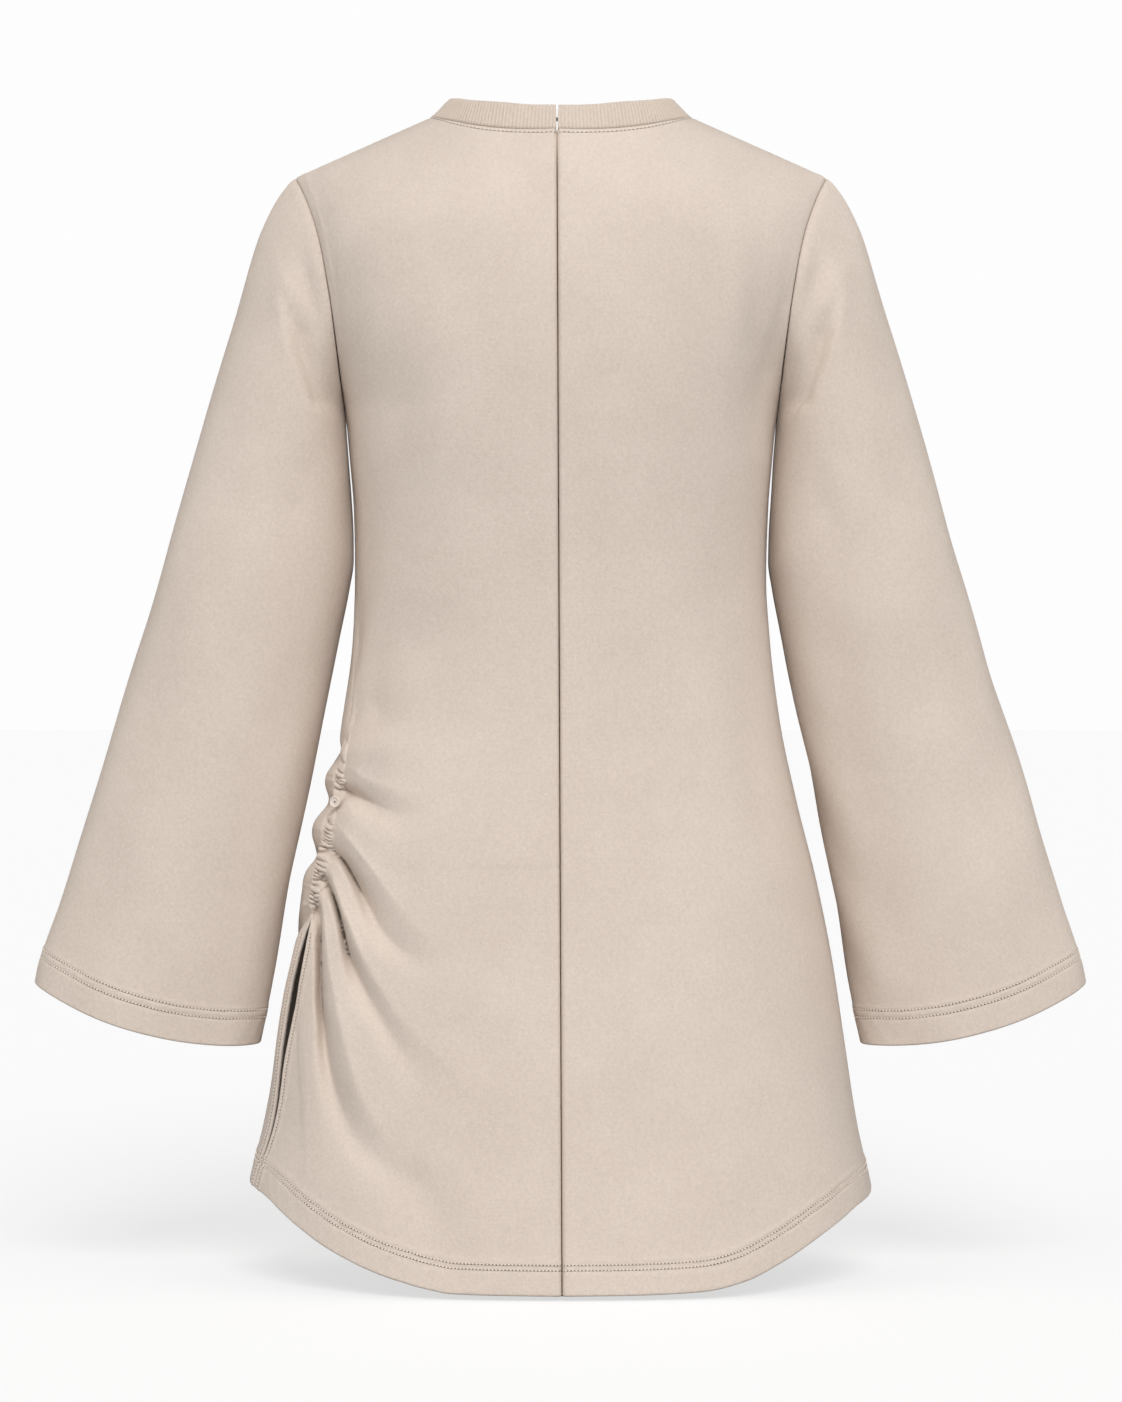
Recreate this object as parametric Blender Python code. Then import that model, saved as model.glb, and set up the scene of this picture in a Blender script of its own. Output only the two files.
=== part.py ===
"""A long sweatshirt in soft jersey, filled out as if worn, with its back towards -Y.

The cloth is a wall of even thickness cut into the pieces that a maker sews: a back in two halves
with a centre seam, a front, two bell sleeves and a ribbed collar.  The left side seam is gathered
and opens into a slit below.  Lengths are in millimetres until a mesh is made.
The origin lies midway between the two shoulder points; +X is the wearer's right, +Z is up.
"""

import math

import bmesh
import bpy
import numpy as np

MM = 0.001
LEFT = -1
RIGHT = 1
BACK = -1
FRONT = 1

# Cloth
WALL = 1.6
SEAM_GAP = 0.3
SECTION_POWER = 2.3

# Shoulders and neck
SHOULDER_X = 199.0
NECK_X = 95.0
NECK_Z = 46.0
BACK_NECK_Z = 29.0
BACK_NECK_POWER = 2.8
FRONT_NECK_Z = -35.0
FRONT_NECK_POWER = 2.2
BACK_SHOULDER_ROUND = 90.0
FRONT_SHOULDER_ROUND = 108.0
CENTRE_SEAM_TOP_X = -3.0
CENTRE_SEAM_HEM_X = 0.7

# Body lengths
UNDERARM_Z = -174.0
SIDE_HEM_Z = -756.0
HEM_DROP = 64.0
CENTRE_HEM_Z = SIDE_HEM_Z - HEM_DROP

# Height, half-width, depth of the back and depth of the front
BODY_FORM = (
    (75, 199, 60, 55),
    (30, 199, 67, 64),
    (0, 199, 80, 76),
    (-50, 194, 96, 92),
    (-100, 185, 104, 104),
    (-150, 168, 107, 114),
    (-174, 162, 107, 117),
    (-210, 158, 105, 118),
    (-250, 155, 102, 117),
    (-301, 153.5, 99, 114),
    (-346, 156, 98, 112),
    (-406, 163.5, 101, 113),
    (-466, 176, 107, 117),
    (-526, 191, 114, 122),
    (-586, 203, 120, 127),
    (-646, 212, 125, 131),
    (-706, 221, 129, 135),
    (-757, 232, 132, 138),
    (-840, 244, 136, 142),
)

# Height and distance from the middle of the armhole's edge, from underarm to shoulder
ARMHOLE = (
    (-174, 162),
    (-160, 163.3),
    (-136, 165.7),
    (-108, 169),
    (-88, 172),
    (-64, 176.3),
    (-46, 180.5),
    (-20, 189.5),
    (0, 199),
)

# Height and angle from the middle of the back of the left side seam, which swings to the back
LEFT_SEAM = (
    (-174, 90),
    (-240, 88),
    (-300, 84),
    (-346, 79),
    (-403, 71.5),
    (-470, 69.5),
    (-547, 69),
    (-628, 75),
    (-700, 75.5),
    (-757, 78),
)

# Angle from the middle and share of the hem's drop there
HEM_CURVE = (
    (0, 1),
    (12, 0.99),
    (22, 0.965),
    (30, 0.875),
    (39, 0.68),
    (50, 0.425),
    (58, 0.27),
    (69, 0.11),
    (90, 0),
)

# Side slit below the gathers: height and opening between the two edges
SLIT = (
    (-840, 2.2),
    (-700, 3.2),
    (-620, 5.0),
    (-575, 4.0),
    (-552, 0.3),
    (-174, 0.3),
)

# Folds of the back, left half: route of (x, z) points, widths and heights at its two ends
BACK_FOLDS = (
    # bright fan above the gathers
    (((-159, -433), (-138, -431), (-112, -430)), (9, 26), (3.5, 1.0)),
    # hooked trough under it
    (((-162, -444), (-140, -461), (-115, -477)), (8, 15), (-7.5, -2.0)),
    # broad ridge at the button
    (((-165, -474), (-147, -483), (-121, -494), (-97, -490)), (8, 24), (5.0, 1.5)),
    # second trough
    (((-168, -486), (-151, -516), (-136, -545), (-113, -570), (-86, -593)), (7, 19), (-7.5, -1.0)),
    # ridge below it
    (((-171, -509), (-158, -531), (-132, -575), (-102, -602)), (6, 17), (4.5, 1.0)),
    # third and longest trough
    (((-175, -517), (-163, -553), (-149, -594), (-117, -640), (-84, -680), (-50, -718)),
     (6, 24), (-7.5, -1.0)),
    (((-175, -542), (-166, -580), (-148, -626), (-121, -684), (-88, -727)), (6, 24), (4.5, 1.2)),
    # trough that runs down from the end of the gathers
    (((-180, -547), (-178, -606), (-170, -665), (-154, -708), (-121, -750), (-98, -785)),
     (6, 26), (-8.0, -1.2)),
    (((-185, -570), (-190, -650), (-189, -746)), (5, 11), (3.0, 1.0)),
    # crease where the side turns away above the gathers
    (((-124, -262), (-130, -307), (-139, -339), (-149, -378), (-157, -410)), (9, 5), (0.8, 3.0)),
    (((-143, -270), (-149, -320), (-155, -362), (-158, -395)), (8, 5), (-2.0, -3.0)),
    # soft waves across the panel
    (((-106, -617), (-66, -640), (-28, -660)), (18, 24), (-1.8, -0.6)),
    (((-130, -380), (-108, -350), (-90, -318)), (14, 22), (-1.8, -0.5)),
    (((-104, -448), (-72, -400), (-30, -345)), (16, 22), (-1.6, -0.4)),
    (((-118, -118), (-119, -175), (-118, -240)), (15, 18), (-2.6, -1.6)),
)

# Folds of the back, right half
BACK_RIGHT_FOLDS = (
    (((126, -40), (128, -110), (128, -180)), (10, 14), (1.6, 1.0)),
    (((143, -60), (145, -120), (146, -190)), (8, 12), (-2.4, -1.4)),
    (((128, -300), (140, -420), (168, -560)), (12, 16), (-1.8, -0.8)),
    (((60, -660), (68, -730), (72, -800)), (18, 24), (-1.4, -1.6)),
)

# Folds of the front's left side, which fan forward from the same gathers: (y, z) points
FRONT_SIDE_FOLDS = (
    (((-44, -449), (0, -451), (40, -440), (80, -424)), (8, 20), (7.0, 1.2)),
    (((-45, -485), (0, -487), (45, -494), (90, -506)), (9, 22), (10.5, 1.2)),
    (((-46, -524), (0, -531), (40, -566), (80, -612)), (8, 22), (6.5, 1.2)),
    (((-43, -432), (0, -431), (40, -405), (70, -380)), (5, 18), (-4.0, -1.0)),
    (((-44, -467), (0, -469), (45, -464), (90, -460)), (6, 18), (-4.5, -1.2)),
    (((-45, -505), (0, -509), (45, -532), (90, -566)), (6, 20), (-5.5, -1.2)),
    (((-46, -546), (0, -572), (45, -640), (85, -700)), (6, 24), (-5.0, -1.2)),
    (((-36, -590), (0, -640), (30, -720)), (8, 18), (3.0, 1.2)),
)

# Soft folds over the front: (x, z) points
FRONT_FOLDS = (
    (((-118, -150), (-112, -220), (-118, -300)), (14, 20), (-2.2, -1.4)),
    (((122, -140), (118, -210), (124, -300)), (14, 20), (-2.4, -1.4)),
    (((-96, -620), (-60, -690), (-40, -770)), (18, 26), (-2.0, -1.6)),
    (((84, -560), (96, -660), (100, -780)), (18, 24), (-2.0, -2.0)),
    (((30, -480), (24, -600), (34, -760)), (24, 30), (1.4, 1.8)),
)

# Sleeves: inner and outer outline as (height, distance from the middle)
SLEEVE_INNER = (
    (-174, 162),
    (-190, 162.3),
    (-210, 161.6),
    (-240, 160),
    (-280, 158),
    (-305, 158.4),
    (-346, 166),
    (-391, 175),
    (-466, 190.5),
    (-541, 205.5),
    (-616, 219),
    (-648, 225),
)
SLEEVE_OUTER = (
    (-603, 394),
    (-586.5, 390.5),
    (-541.5, 375),
    (-466.5, 352),
    (-391.5, 328.5),
    (-316.5, 306),
    (-241.5, 284),
    (-166.5, 263),
    (-106.5, 245),
    (-46.5, 227),
    (-31.5, 220.5),
    (-13.5, 211),
    (-4.5, 204),
    (0, 199),
)
CUFF_INNER_Z = -648.0
CUFF_OUTER_Z = -603.0
CUFF_BOW = 12.8
SLEEVE_POWER = 2.15
OUTER_LEAD = 0.75
# Share of the sleeve's length and half of its depth
SLEEVE_DEPTH = (
    (0, 50),
    (0.15, 54),
    (0.3, 54),
    (0.5, 51),
    (0.75, 47.5),
    (1, 45),
)
ARMHOLE_FADE = 0.32
# Flutes down each sleeve: share round the ring from the underarm over the back, width and height
SLEEVE_FLUTES = (
    (0.16, 0.045, -2.2),
    (0.29, 0.05, 1.6),
    (0.37, 0.045, -1.8),
    (0.63, 0.05, -1.6),
    (0.8, 0.05, 1.8),
)

# Collar
RIB_PITCH = 2.8
RIB_RAISE = 0.5
RIB_WALL = 2.6
RIB_BULGE = 0.5
RIB_SEAT = 0.25
# Angle round the neck from the middle of the back, and how far the collar goes in and up there
COLLAR = (
    (0, 10, 18.8),
    (14, 8.6, 20.3),
    (28, 7.2, 22),
    (58, 9, 18.5),
    (90, 12, 13.5),
    (130, 13, 14),
    (180, 12, 16),
)
BACK_NECK_DEPTH = 62.0
FRONT_NECK_DEPTH = 78.0
SLIT_HALF_BOTTOM = 1.0
SLIT_HALF_MIDDLE = 0.35
SLIT_HALF_TOP = 1.35
CATCH_LENGTH = 11.0
CATCH_HEIGHT = 3.2
CATCH_THICKNESS = 1.0
CATCH_CLEARANCE = 1.1

# Gathers of the left side seam and the button on them
GATHER_TOP_Z = -402.0
GATHER_END_Z = -548.0
PUCKER_COUNT = 24
PUCKER_RAISE = 1.3
GATHER_HALF_WIDTH = 4.2
GATHER_WALL = 1.0
GATHER_LIFT = 0.9
GATHER_OFFSETS = (-1.0, -0.35, 0.35, 1.0)
BUTTON_Z = -469.0
BUTTON_RADIUS = 4.5
BUTTON_SIDES = 18
BUTTON_AXIS = (-0.50, -0.86, 0.06)
BUTTON_LIFT = 4.95
# Turned outline of the button on its shank: radius and height along its axis
BUTTON_OUTLINE = (
    (1.5, -2.2),
    (1.5, 0.0),
    (4.1, 0.0),
    (4.5, 0.4),
    (4.5, 1.6),
    (4.0, 2.1),
    (2.4, 1.7),
)

# How finely the cloth is divided
LEFT_ROWS = 32
RIGHT_ROWS = 18
ARMHOLE_ROWS = 10
SIDE_EASE_COLUMNS = 4
SLEEVE_RINGS = 14
NECK_SHARE = 0.38
BACK_LEFT_COLUMNS = (7, 15)
BACK_RIGHT_COLUMNS = (5, 6)
FRONT_COLUMNS = (7, 5)
ROW_CROWDING = 1.7
CROWDED_Z = -520.0
CROWDED_SPREAD = 95.0
RING_CROWDING = 1.25
# Folds narrower than this can't be drawn by the columns and rows
LEAST_FOLD_WIDTH = 10.0
# Share of a panel over which its folds die down to the gathered seam, and what is left there
SEAM_CALM = 0.1
SEAM_FOLD_SHARE = 0.2
RIB_SEGMENTS_PER_CHORD = 4
PUCKER_SAMPLES = 3

CLOTH_COLOUR = (0.70, 0.60, 0.52, 1.0)
RIB_COLOUR = (0.66, 0.56, 0.48, 1.0)
BUTTON_COLOUR = (0.64, 0.54, 0.45, 1.0)
CATCH_COLOUR = (0.20, 0.18, 0.17, 1.0)


def unit(vectors):
    """Vectors scaled to length one."""
    lengths = np.linalg.norm(vectors, axis=-1, keepdims=True)
    return vectors / np.maximum(lengths, 1e-12)


def curve(rows, at, column=1):
    """Smooth line through a table's rows, read at its first column; it never overshoots them."""
    table = np.array(sorted(rows), dtype=float)
    x, y = table[:, 0], table[:, column]
    step = np.diff(x)
    slope = np.diff(y) / step
    tangent = np.empty_like(y)
    tangent[0], tangent[-1] = slope[0], slope[-1]
    before, after = slope[:-1], slope[1:]
    same_way = before * after > 0
    total = np.where(same_way, before + after, 1.0)
    tangent[1:-1] = np.where(same_way, 2 * before * after / total, 0.0)
    at = np.clip(np.asarray(at, dtype=float), x[0], x[-1])
    k = np.clip(np.searchsorted(x, at) - 1, 0, len(step) - 1)
    h = step[k]
    t = (at - x[k]) / h
    return ((1 + 2 * t) * (1 - t) ** 2 * y[k] + t * (1 - t) ** 2 * h * tangent[k]
            + t * t * (3 - 2 * t) * y[k + 1] + t * t * (t - 1) * h * tangent[k + 1])


def smooth_route(points, count=28):
    """A fold's route as a smooth run of points through its table's points."""
    points = np.array(points, dtype=float)
    share = np.linspace(0, 1, len(points))
    fine = np.linspace(0, 1, count)
    columns = [curve(list(zip(share, points[:, k])), fine) for k in range(points.shape[1])]
    return np.stack(columns, axis=1)


def fold_height(folds, across, z):
    """How far the soft ridges and troughs of a table lift the cloth at places (across, z)."""
    place = np.stack([np.asarray(across, float), np.asarray(z, float)], axis=-1)
    lift = np.zeros(place.shape[:-1])
    for route, widths, heights in folds:
        path = smooth_route(route)
        start, end = path[:-1], path[1:]
        run = end - start
        along = ((place[..., None, :] - start) * run).sum(-1) / (run ** 2).sum(-1)
        along = np.clip(along, 0, 1)
        nearest = start + along[..., None] * run
        distance = np.linalg.norm(place[..., None, :] - nearest, axis=-1)
        k = distance.argmin(-1)
        share = (k + np.take_along_axis(along, k[..., None], -1)[..., 0]) / len(run)
        gap = np.take_along_axis(distance, k[..., None], -1)[..., 0]
        width = np.maximum(widths[0] + (widths[1] - widths[0]) * share, LEAST_FOLD_WIDTH)
        height = heights[0] + (heights[1] - heights[0]) * share
        lift += height * np.exp(-(gap / width) ** 2)
    return lift


def shoulder_line(x):
    """Height of the shoulder seam at a distance from the middle."""
    slope = NECK_Z / (SHOULDER_X - NECK_X)
    return (SHOULDER_X - np.abs(x)) * slope


def body_depth(side, x, z):
    """Distance of the body's surface behind or before the shoulder plane at (x, z)."""
    half_width = curve(BODY_FORM, z, 1)
    depth = curve(BODY_FORM, z, 2 if side == BACK else 3)
    round_height = BACK_SHOULDER_ROUND if side == BACK else FRONT_SHOULDER_ROUND
    share = np.clip(np.abs(x) / half_width, 0, 1)
    section = (1 - share ** SECTION_POWER) ** (1 / SECTION_POWER)
    below = np.clip((shoulder_line(x) - z) / round_height, 0, 1)
    return depth * section * np.sqrt(1 - (1 - below) ** 2)


def outward(side, x, y, z):
    """Horizontal direction out of the body's surface."""
    half_width = curve(BODY_FORM, z, 1)
    depth = curve(BODY_FORM, z, 2 if side == BACK else 3)
    power = SECTION_POWER - 1
    across = np.sign(x) * np.clip(np.abs(x) / half_width, 0, 1) ** power / half_width
    deep = side * np.clip(np.abs(y) / depth, 0, 1) ** power / depth
    return unit(np.stack([across, deep, np.zeros_like(across)], axis=-1))


def row_heights(count):
    """Heights of the side seam's rows from hem to underarm, closer together by the gathers."""
    z = np.linspace(SIDE_HEM_Z, UNDERARM_Z, 400)
    crowd = 1 + ROW_CROWDING * np.exp(-((z - CROWDED_Z) / CROWDED_SPREAD) ** 2)
    total = np.concatenate([[0], np.cumsum((crowd[1:] + crowd[:-1]) / 2)])
    return np.interp(np.linspace(0, total[-1], count + 1), total, z)


def column_shares(counts):
    """Shares from the middle to the side: first the columns under the neck, then the shoulder's."""
    neck, shoulder = counts
    return np.concatenate([np.linspace(0, NECK_SHARE, neck + 1),
                           np.linspace(NECK_SHARE, 1, shoulder + 1)[1:]])


def top_edge(side, share):
    """Neckline and then shoulder seam, as distance from the middle and height."""
    neck = np.clip(share / NECK_SHARE, 0, 1)
    neck_x = NECK_X * np.sin(neck * math.pi / 2) ** 0.9
    if side == BACK:
        neck_z = BACK_NECK_Z + (NECK_Z - BACK_NECK_Z) * (neck_x / NECK_X) ** BACK_NECK_POWER
    else:
        neck_z = FRONT_NECK_Z + (NECK_Z - FRONT_NECK_Z) * (neck_x / NECK_X) ** FRONT_NECK_POWER
    shoulder = np.clip((share - NECK_SHARE) / (1 - NECK_SHARE), 0, 1)
    shoulder_x = NECK_X + (SHOULDER_X - NECK_X) * shoulder
    on_neck = share <= NECK_SHARE
    x = np.where(on_neck, neck_x, shoulder_x)
    z = np.where(on_neck, neck_z, shoulder_line(shoulder_x))
    return x, z


def lower_half(side, hand, share, count):
    """Rows from hem to underarm of a half panel, as x, y, z arrays of (column, row)."""
    rows = row_heights(count)
    if hand == LEFT:
        seam_angle = curve(LEFT_SEAM, rows)
    else:
        seam_angle = np.full_like(rows, 90.0)
    reach = seam_angle if side == BACK else 180.0 - seam_angle
    angle = np.radians(share[:, None] * reach[None, :])
    bend = (rows - UNDERARM_Z) / (SIDE_HEM_Z - UNDERARM_Z)
    drop = curve(HEM_CURVE, np.minimum(np.degrees(angle), 90))
    z = rows[None, :] - HEM_DROP * drop * bend[None, :] ** 5
    half_width = curve(BODY_FORM, z, 1)
    x = half_width * np.sin(angle) ** (2 / SECTION_POWER)
    past_side = np.cos(angle) < 0
    y = side * body_depth(side, x, z)
    y = np.where(past_side, -side * body_depth(-side, x, z), y)
    return x, y, z


def upper_half(side, share, base_x):
    """Rows from underarm to neck and shoulder of a half panel."""
    k = np.linspace(0, 1, ARMHOLE_ROWS + 1)[1:]
    rise = 0.5 - 0.5 * np.cos(math.pi * k)
    top_x, top_z = top_edge(side, share)
    x = base_x[:, None] + (top_x - base_x)[:, None] * rise[None, :]
    z = UNDERARM_Z + (top_z - UNDERARM_Z)[:, None] * rise[None, :]
    edge_z = UNDERARM_Z * (1 - rise)
    edge_x = curve(ARMHOLE, edge_z)
    chord_x = x[-1].copy()
    x = x + (edge_x - chord_x)[None, :] * share[:, None] ** 3
    y = side * body_depth(side, x, z)
    return x, y, z


def half_panel(side, hand, counts, rows, folds):
    """One half of the back or front, as points (column from the middle, row from the hem)."""
    share = column_shares(counts)
    x, y, z = lower_half(side, hand, share, rows)
    ux, uy, uz = upper_half(side, share, x[:, -1])
    x = np.concatenate([x, ux], axis=1) * hand
    y = np.concatenate([y, uy], axis=1)
    z = np.concatenate([z, uz], axis=1)
    facing = np.where(y * side >= 0, side, -side)
    back_way = outward(BACK, x, y, z)
    front_way = outward(FRONT, x, y, z)
    way = np.where((facing == BACK)[..., None], back_way, front_way)
    lift = fold_height(folds, x, z)
    if side == FRONT and hand == LEFT:
        near_side = np.clip((np.abs(x) / curve(BODY_FORM, z, 1) - 0.72) / 0.2, 0, 1)
        lift = lift + fold_height(FRONT_SIDE_FOLDS, y, z) * near_side
    if side == BACK:
        fall = (BACK_NECK_Z - z) / (BACK_NECK_Z - CENTRE_HEM_Z)
        seam_x = CENTRE_SEAM_TOP_X + (CENTRE_SEAM_HEM_X - CENTRE_SEAM_TOP_X) * fall
        x = x + seam_x * np.clip(1 - share[:, None] / NECK_SHARE, 0, 1) ** 2
        lift = lift * np.clip(share[:, None] / 0.12, 0, 1)
    if hand == LEFT:
        calm = np.clip((1 - share) / SEAM_CALM, 0, 1)
        calm = SEAM_FOLD_SHARE + (1 - SEAM_FOLD_SHARE) * calm * calm * (3 - 2 * calm)
        lift = lift * calm[:, None]
    still = np.clip((shoulder_line(x) - z) / 60.0, 0, 1)
    return np.stack([x, y, z], axis=-1) + way * (lift * still)[..., None]


def match_side(panel, target, fade_columns):
    """Moves a panel's side column onto the one it is sewn to, and eases its neighbours along."""
    shift = target - panel[-1]
    shift[-ARMHOLE_ROWS:] = 0
    columns = len(panel)
    for step in range(fade_columns):
        weight = (1 - step / fade_columns) ** 2
        panel[columns - 1 - step] += shift * weight
    return panel


def open_slit(panel, gaps):
    """Draws a panel's side column back along its surface, which opens the slit."""
    towards = unit(panel[-2] - panel[-1])
    panel[-1] += towards * gaps[:, None]
    return panel


def grid_normals(points, closed=False):
    """Directions out of a grid's surface, with the columns run from left to right behind it."""
    if closed:
        across = np.roll(points, -1, axis=0) - np.roll(points, 1, axis=0)
    else:
        across = np.gradient(points, axis=0)
    up = np.gradient(points, axis=1)
    return unit(np.cross(across, up))


def inset(points, normals, edge, amount):
    """Draws one edge of a grid back along its surface by half of the gap at a seam."""
    index = {"first": (0, slice(None)), "last": (-1, slice(None)),
             "bottom": (slice(None), 0), "top": (slice(None), -1)}[edge]
    inner = {"first": (1, slice(None)), "last": (-2, slice(None)),
             "bottom": (slice(None), 1), "top": (slice(None), -2)}[edge]
    line = points[index]
    tangent = np.gradient(line, axis=0)
    inwards = unit(np.cross(normals[index], tangent))
    turn = np.sign(((points[inner] - line) * inwards).sum(-1, keepdims=True))
    moved = points.copy()
    moved[index] = line + inwards * turn * amount
    return moved


def material(name, colour, roughness):
    """A plain material with a colour and a roughness."""
    made = bpy.data.materials.new(name)
    made.use_nodes = True
    shader = made.node_tree.nodes["Principled BSDF"]
    shader.inputs["Base Color"].default_value = colour
    shader.inputs["Roughness"].default_value = roughness
    shader.inputs["Metallic"].default_value = 0.0
    return made


def add_mesh(name, vertices, faces, colour, roughness=0.9):
    """One closed object from points in millimetres and faces."""
    mesh = bpy.data.meshes.new(name)
    mesh.from_pydata([tuple(v) for v in np.asarray(vertices) * MM], [], faces)
    shape = bmesh.new()
    shape.from_mesh(mesh)
    bmesh.ops.recalc_face_normals(shape, faces=shape.faces)
    shape.to_mesh(mesh)
    shape.free()
    mesh.materials.append(material(name + "_cloth", colour, roughness))
    mesh.shade_smooth()
    mesh.set_sharp_from_angle(angle=math.radians(50))
    made = bpy.data.objects.new(name, mesh)
    bpy.context.scene.collection.objects.link(made)
    return made


def wall(name, outer, normals, thickness, colour, closed=False):
    """A wall of cloth between a grid of outer points and the same points moved in."""
    inner = outer - normals * thickness
    columns, rows = outer.shape[:2]
    vertices = np.concatenate([outer.reshape(-1, 3), inner.reshape(-1, 3)])
    behind = columns * rows
    spans = columns if closed else columns - 1
    faces = []
    for i in range(spans):
        a, b = i * rows, ((i + 1) % columns) * rows
        for j in range(rows - 1):
            faces.append((a + j, b + j, b + j + 1, a + j + 1))
            faces.append((behind + a + j, behind + a + j + 1, behind + b + j + 1, behind + b + j))
        for j in (0, rows - 1):
            faces.append((a + j, b + j, behind + b + j, behind + a + j))
    if not closed:
        for i in (0, columns - 1):
            for j in range(rows - 1):
                a = i * rows + j
                faces.append((a, a + 1, behind + a + 1, behind + a))
    return add_mesh(name, vertices, faces, colour)


def sleeve_outline(hand, share):
    """Inner and outer outline points of a sleeve at shares of its length."""
    inner_z = UNDERARM_Z + (CUFF_INNER_Z - UNDERARM_Z) * share
    outer_z = CUFF_OUTER_Z * (share + OUTER_LEAD * share * (1 - share) ** 1.5)
    inner = np.stack([hand * curve(SLEEVE_INNER, inner_z), np.zeros_like(share), inner_z], -1)
    outer = np.stack([hand * curve(SLEEVE_OUTER, outer_z), np.zeros_like(share), outer_z], -1)
    return inner, outer


def sleeve_oval(hand, share, turn):
    """Points of the sleeve's ovals: turn 0 is the underarm side, then the back, then outside."""
    inner, outer = sleeve_outline(hand, share)
    centre = (inner + outer) / 2
    half = (outer - inner) / 2
    depth = curve(SLEEVE_DEPTH, share)
    power = 2 / SLEEVE_POWER
    cosine, sine = np.cos(turn), np.sin(turn)
    along = -np.sign(cosine) * np.abs(cosine) ** power
    deep = -np.sign(sine) * np.abs(sine) ** power
    flutes = np.zeros((len(turn), len(share)))
    for place, width, height in SLEEVE_FLUTES:
        distance = (turn / (2 * math.pi) - place)[:, None] / width
        flutes += height * np.exp(-distance ** 2) * np.clip(share * 2.5, 0, 1)[None, :]
    points = centre[None] + along[:, None, None] * half[None]
    points[..., 1] += deep[:, None] * depth[None, :] + flutes * np.sign(deep)[:, None]
    points[..., 2] -= CUFF_BOW * (sine ** 2)[:, None] * share[None, :] ** 4
    return points


def sleeve(hand, loop):
    """A sleeve's points as (place round the ring, ring), with its first ring on the armhole."""
    share = np.linspace(0, 1, SLEEVE_RINGS + 1) ** RING_CROWDING
    turn = np.linspace(0, 2 * math.pi, 2 * ARMHOLE_ROWS + 1)[:-1]
    points = sleeve_oval(hand, share, turn)
    keep = np.clip(1 - share / ARMHOLE_FADE, 0, 1) ** 2
    return points + keep[None, :, None] * (loop - points[:, 0])[:, None, :]


def armhole_loop(back, front):
    """The armhole's points from the underarm up the back and down the front."""
    rows = slice(-ARMHOLE_ROWS - 1, None)
    return np.concatenate([back[-1, rows], front[-1, rows][::-1][1:-1]])


def rib_directions(points):
    """Up along the collar, out of it, and its height at points of the neckline."""
    depth = np.where(points[:, 1] < 0, BACK_NECK_DEPTH, FRONT_NECK_DEPTH)
    level = np.stack([points[:, 0] / NECK_X ** 2, points[:, 1] / depth ** 2,
                      np.zeros(len(points))], axis=-1)
    angle = np.degrees(np.arctan2(np.abs(points[:, 0]) / NECK_X, -points[:, 1] / depth))
    inwards = -unit(level) * curve(COLLAR, angle, 1)[:, None]
    upwards = np.array([0.0, 0.0, 1.0]) * curve(COLLAR, angle, 2)[:, None]
    height = np.linalg.norm(inwards + upwards, axis=1, keepdims=True)
    vertical = np.array([0.0, 0.0, 1.0])
    face = (vertical * np.linalg.norm(inwards, axis=1, keepdims=True)
            - unit(inwards) * np.linalg.norm(upwards, axis=1, keepdims=True))
    return (inwards + upwards) / height, face / height, height


def resample(values, places, at):
    """Values given at places along a line, read by straight lines at other places."""
    return np.stack([np.interp(at, places, values[:, k]) for k in range(values.shape[1])], axis=1)


def build_collar(neckline, directions):
    """The collar: ribs raised on its outer side, plain inside, open at the middle of the back."""
    steps = np.linalg.norm(np.diff(neckline, axis=0), axis=1)
    length = np.concatenate([[0], np.cumsum(steps)])
    chords = np.maximum(np.round(steps / (2 * RIB_PITCH)), 1).astype(int)
    runs = [np.linspace(length[k], length[k + 1], RIB_SEGMENTS_PER_CHORD * n + 1)[:-1]
            for k, n in enumerate(chords)]
    at = np.concatenate(runs + [length[-1:]])
    segments = len(at) - 1
    coarse = at[::RIB_SEGMENTS_PER_CHORD]
    base, out = resample(neckline, length, at), resample(directions, length, at)
    up, face, height = rib_directions(base)
    base = base + up * RIB_SEAT
    ridge = np.where(np.arange(segments + 1) % 2 == 1, RIB_RAISE, 0.0)[:, None]
    middle = base + up * height / 2 + face * RIB_BULGE
    top = base + up * height
    slit = (SLIT_HALF_BOTTOM, SLIT_HALF_MIDDLE, SLIT_HALF_TOP)
    outer = [base + out * ridge, middle + face * ridge, top + face * ridge * 0.5]
    stride = slice(None, None, RIB_SEGMENTS_PER_CHORD)
    inner = [(base - out * RIB_WALL)[stride], (top - face * RIB_WALL)[stride]]
    for row, half in zip(outer + inner, slit + (SLIT_HALF_BOTTOM, SLIT_HALF_TOP)):
        row[0, 0] += half
        row[-1, 0] -= half
    vertices = np.concatenate(outer + inner)
    starts = [0, segments + 1, 2 * (segments + 1), 3 * (segments + 1)]
    starts.append(starts[3] + len(coarse))
    faces = []
    for level in range(2):
        a, b = starts[level], starts[level + 1]
        faces += [(a + k, a + k + 1, b + k + 1, b + k) for k in range(segments)]
    c, d = starts[3], starts[4]
    faces += [(c + k, d + k, d + k + 1, c + k + 1) for k in range(len(coarse) - 1)]
    for fine_row, coarse_row in ((starts[0], c), (starts[2], d)):
        for k in range(len(coarse) - 1):
            first = fine_row + k * RIB_SEGMENTS_PER_CHORD
            half = RIB_SEGMENTS_PER_CHORD // 2
            for m in range(RIB_SEGMENTS_PER_CHORD):
                near = coarse_row + k + (1 if m >= half else 0)
                faces.append((first + m, first + m + 1, near))
            faces.append((first + half, coarse_row + k + 1, coarse_row + k))
    for k, coarse_k in ((0, 0), (segments, len(coarse) - 1)):
        faces.append((starts[0] + k, starts[1] + k, starts[2] + k, d + coarse_k, c + coarse_k))
    add_mesh("neck_rib", vertices, faces, RIB_COLOUR)


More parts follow.
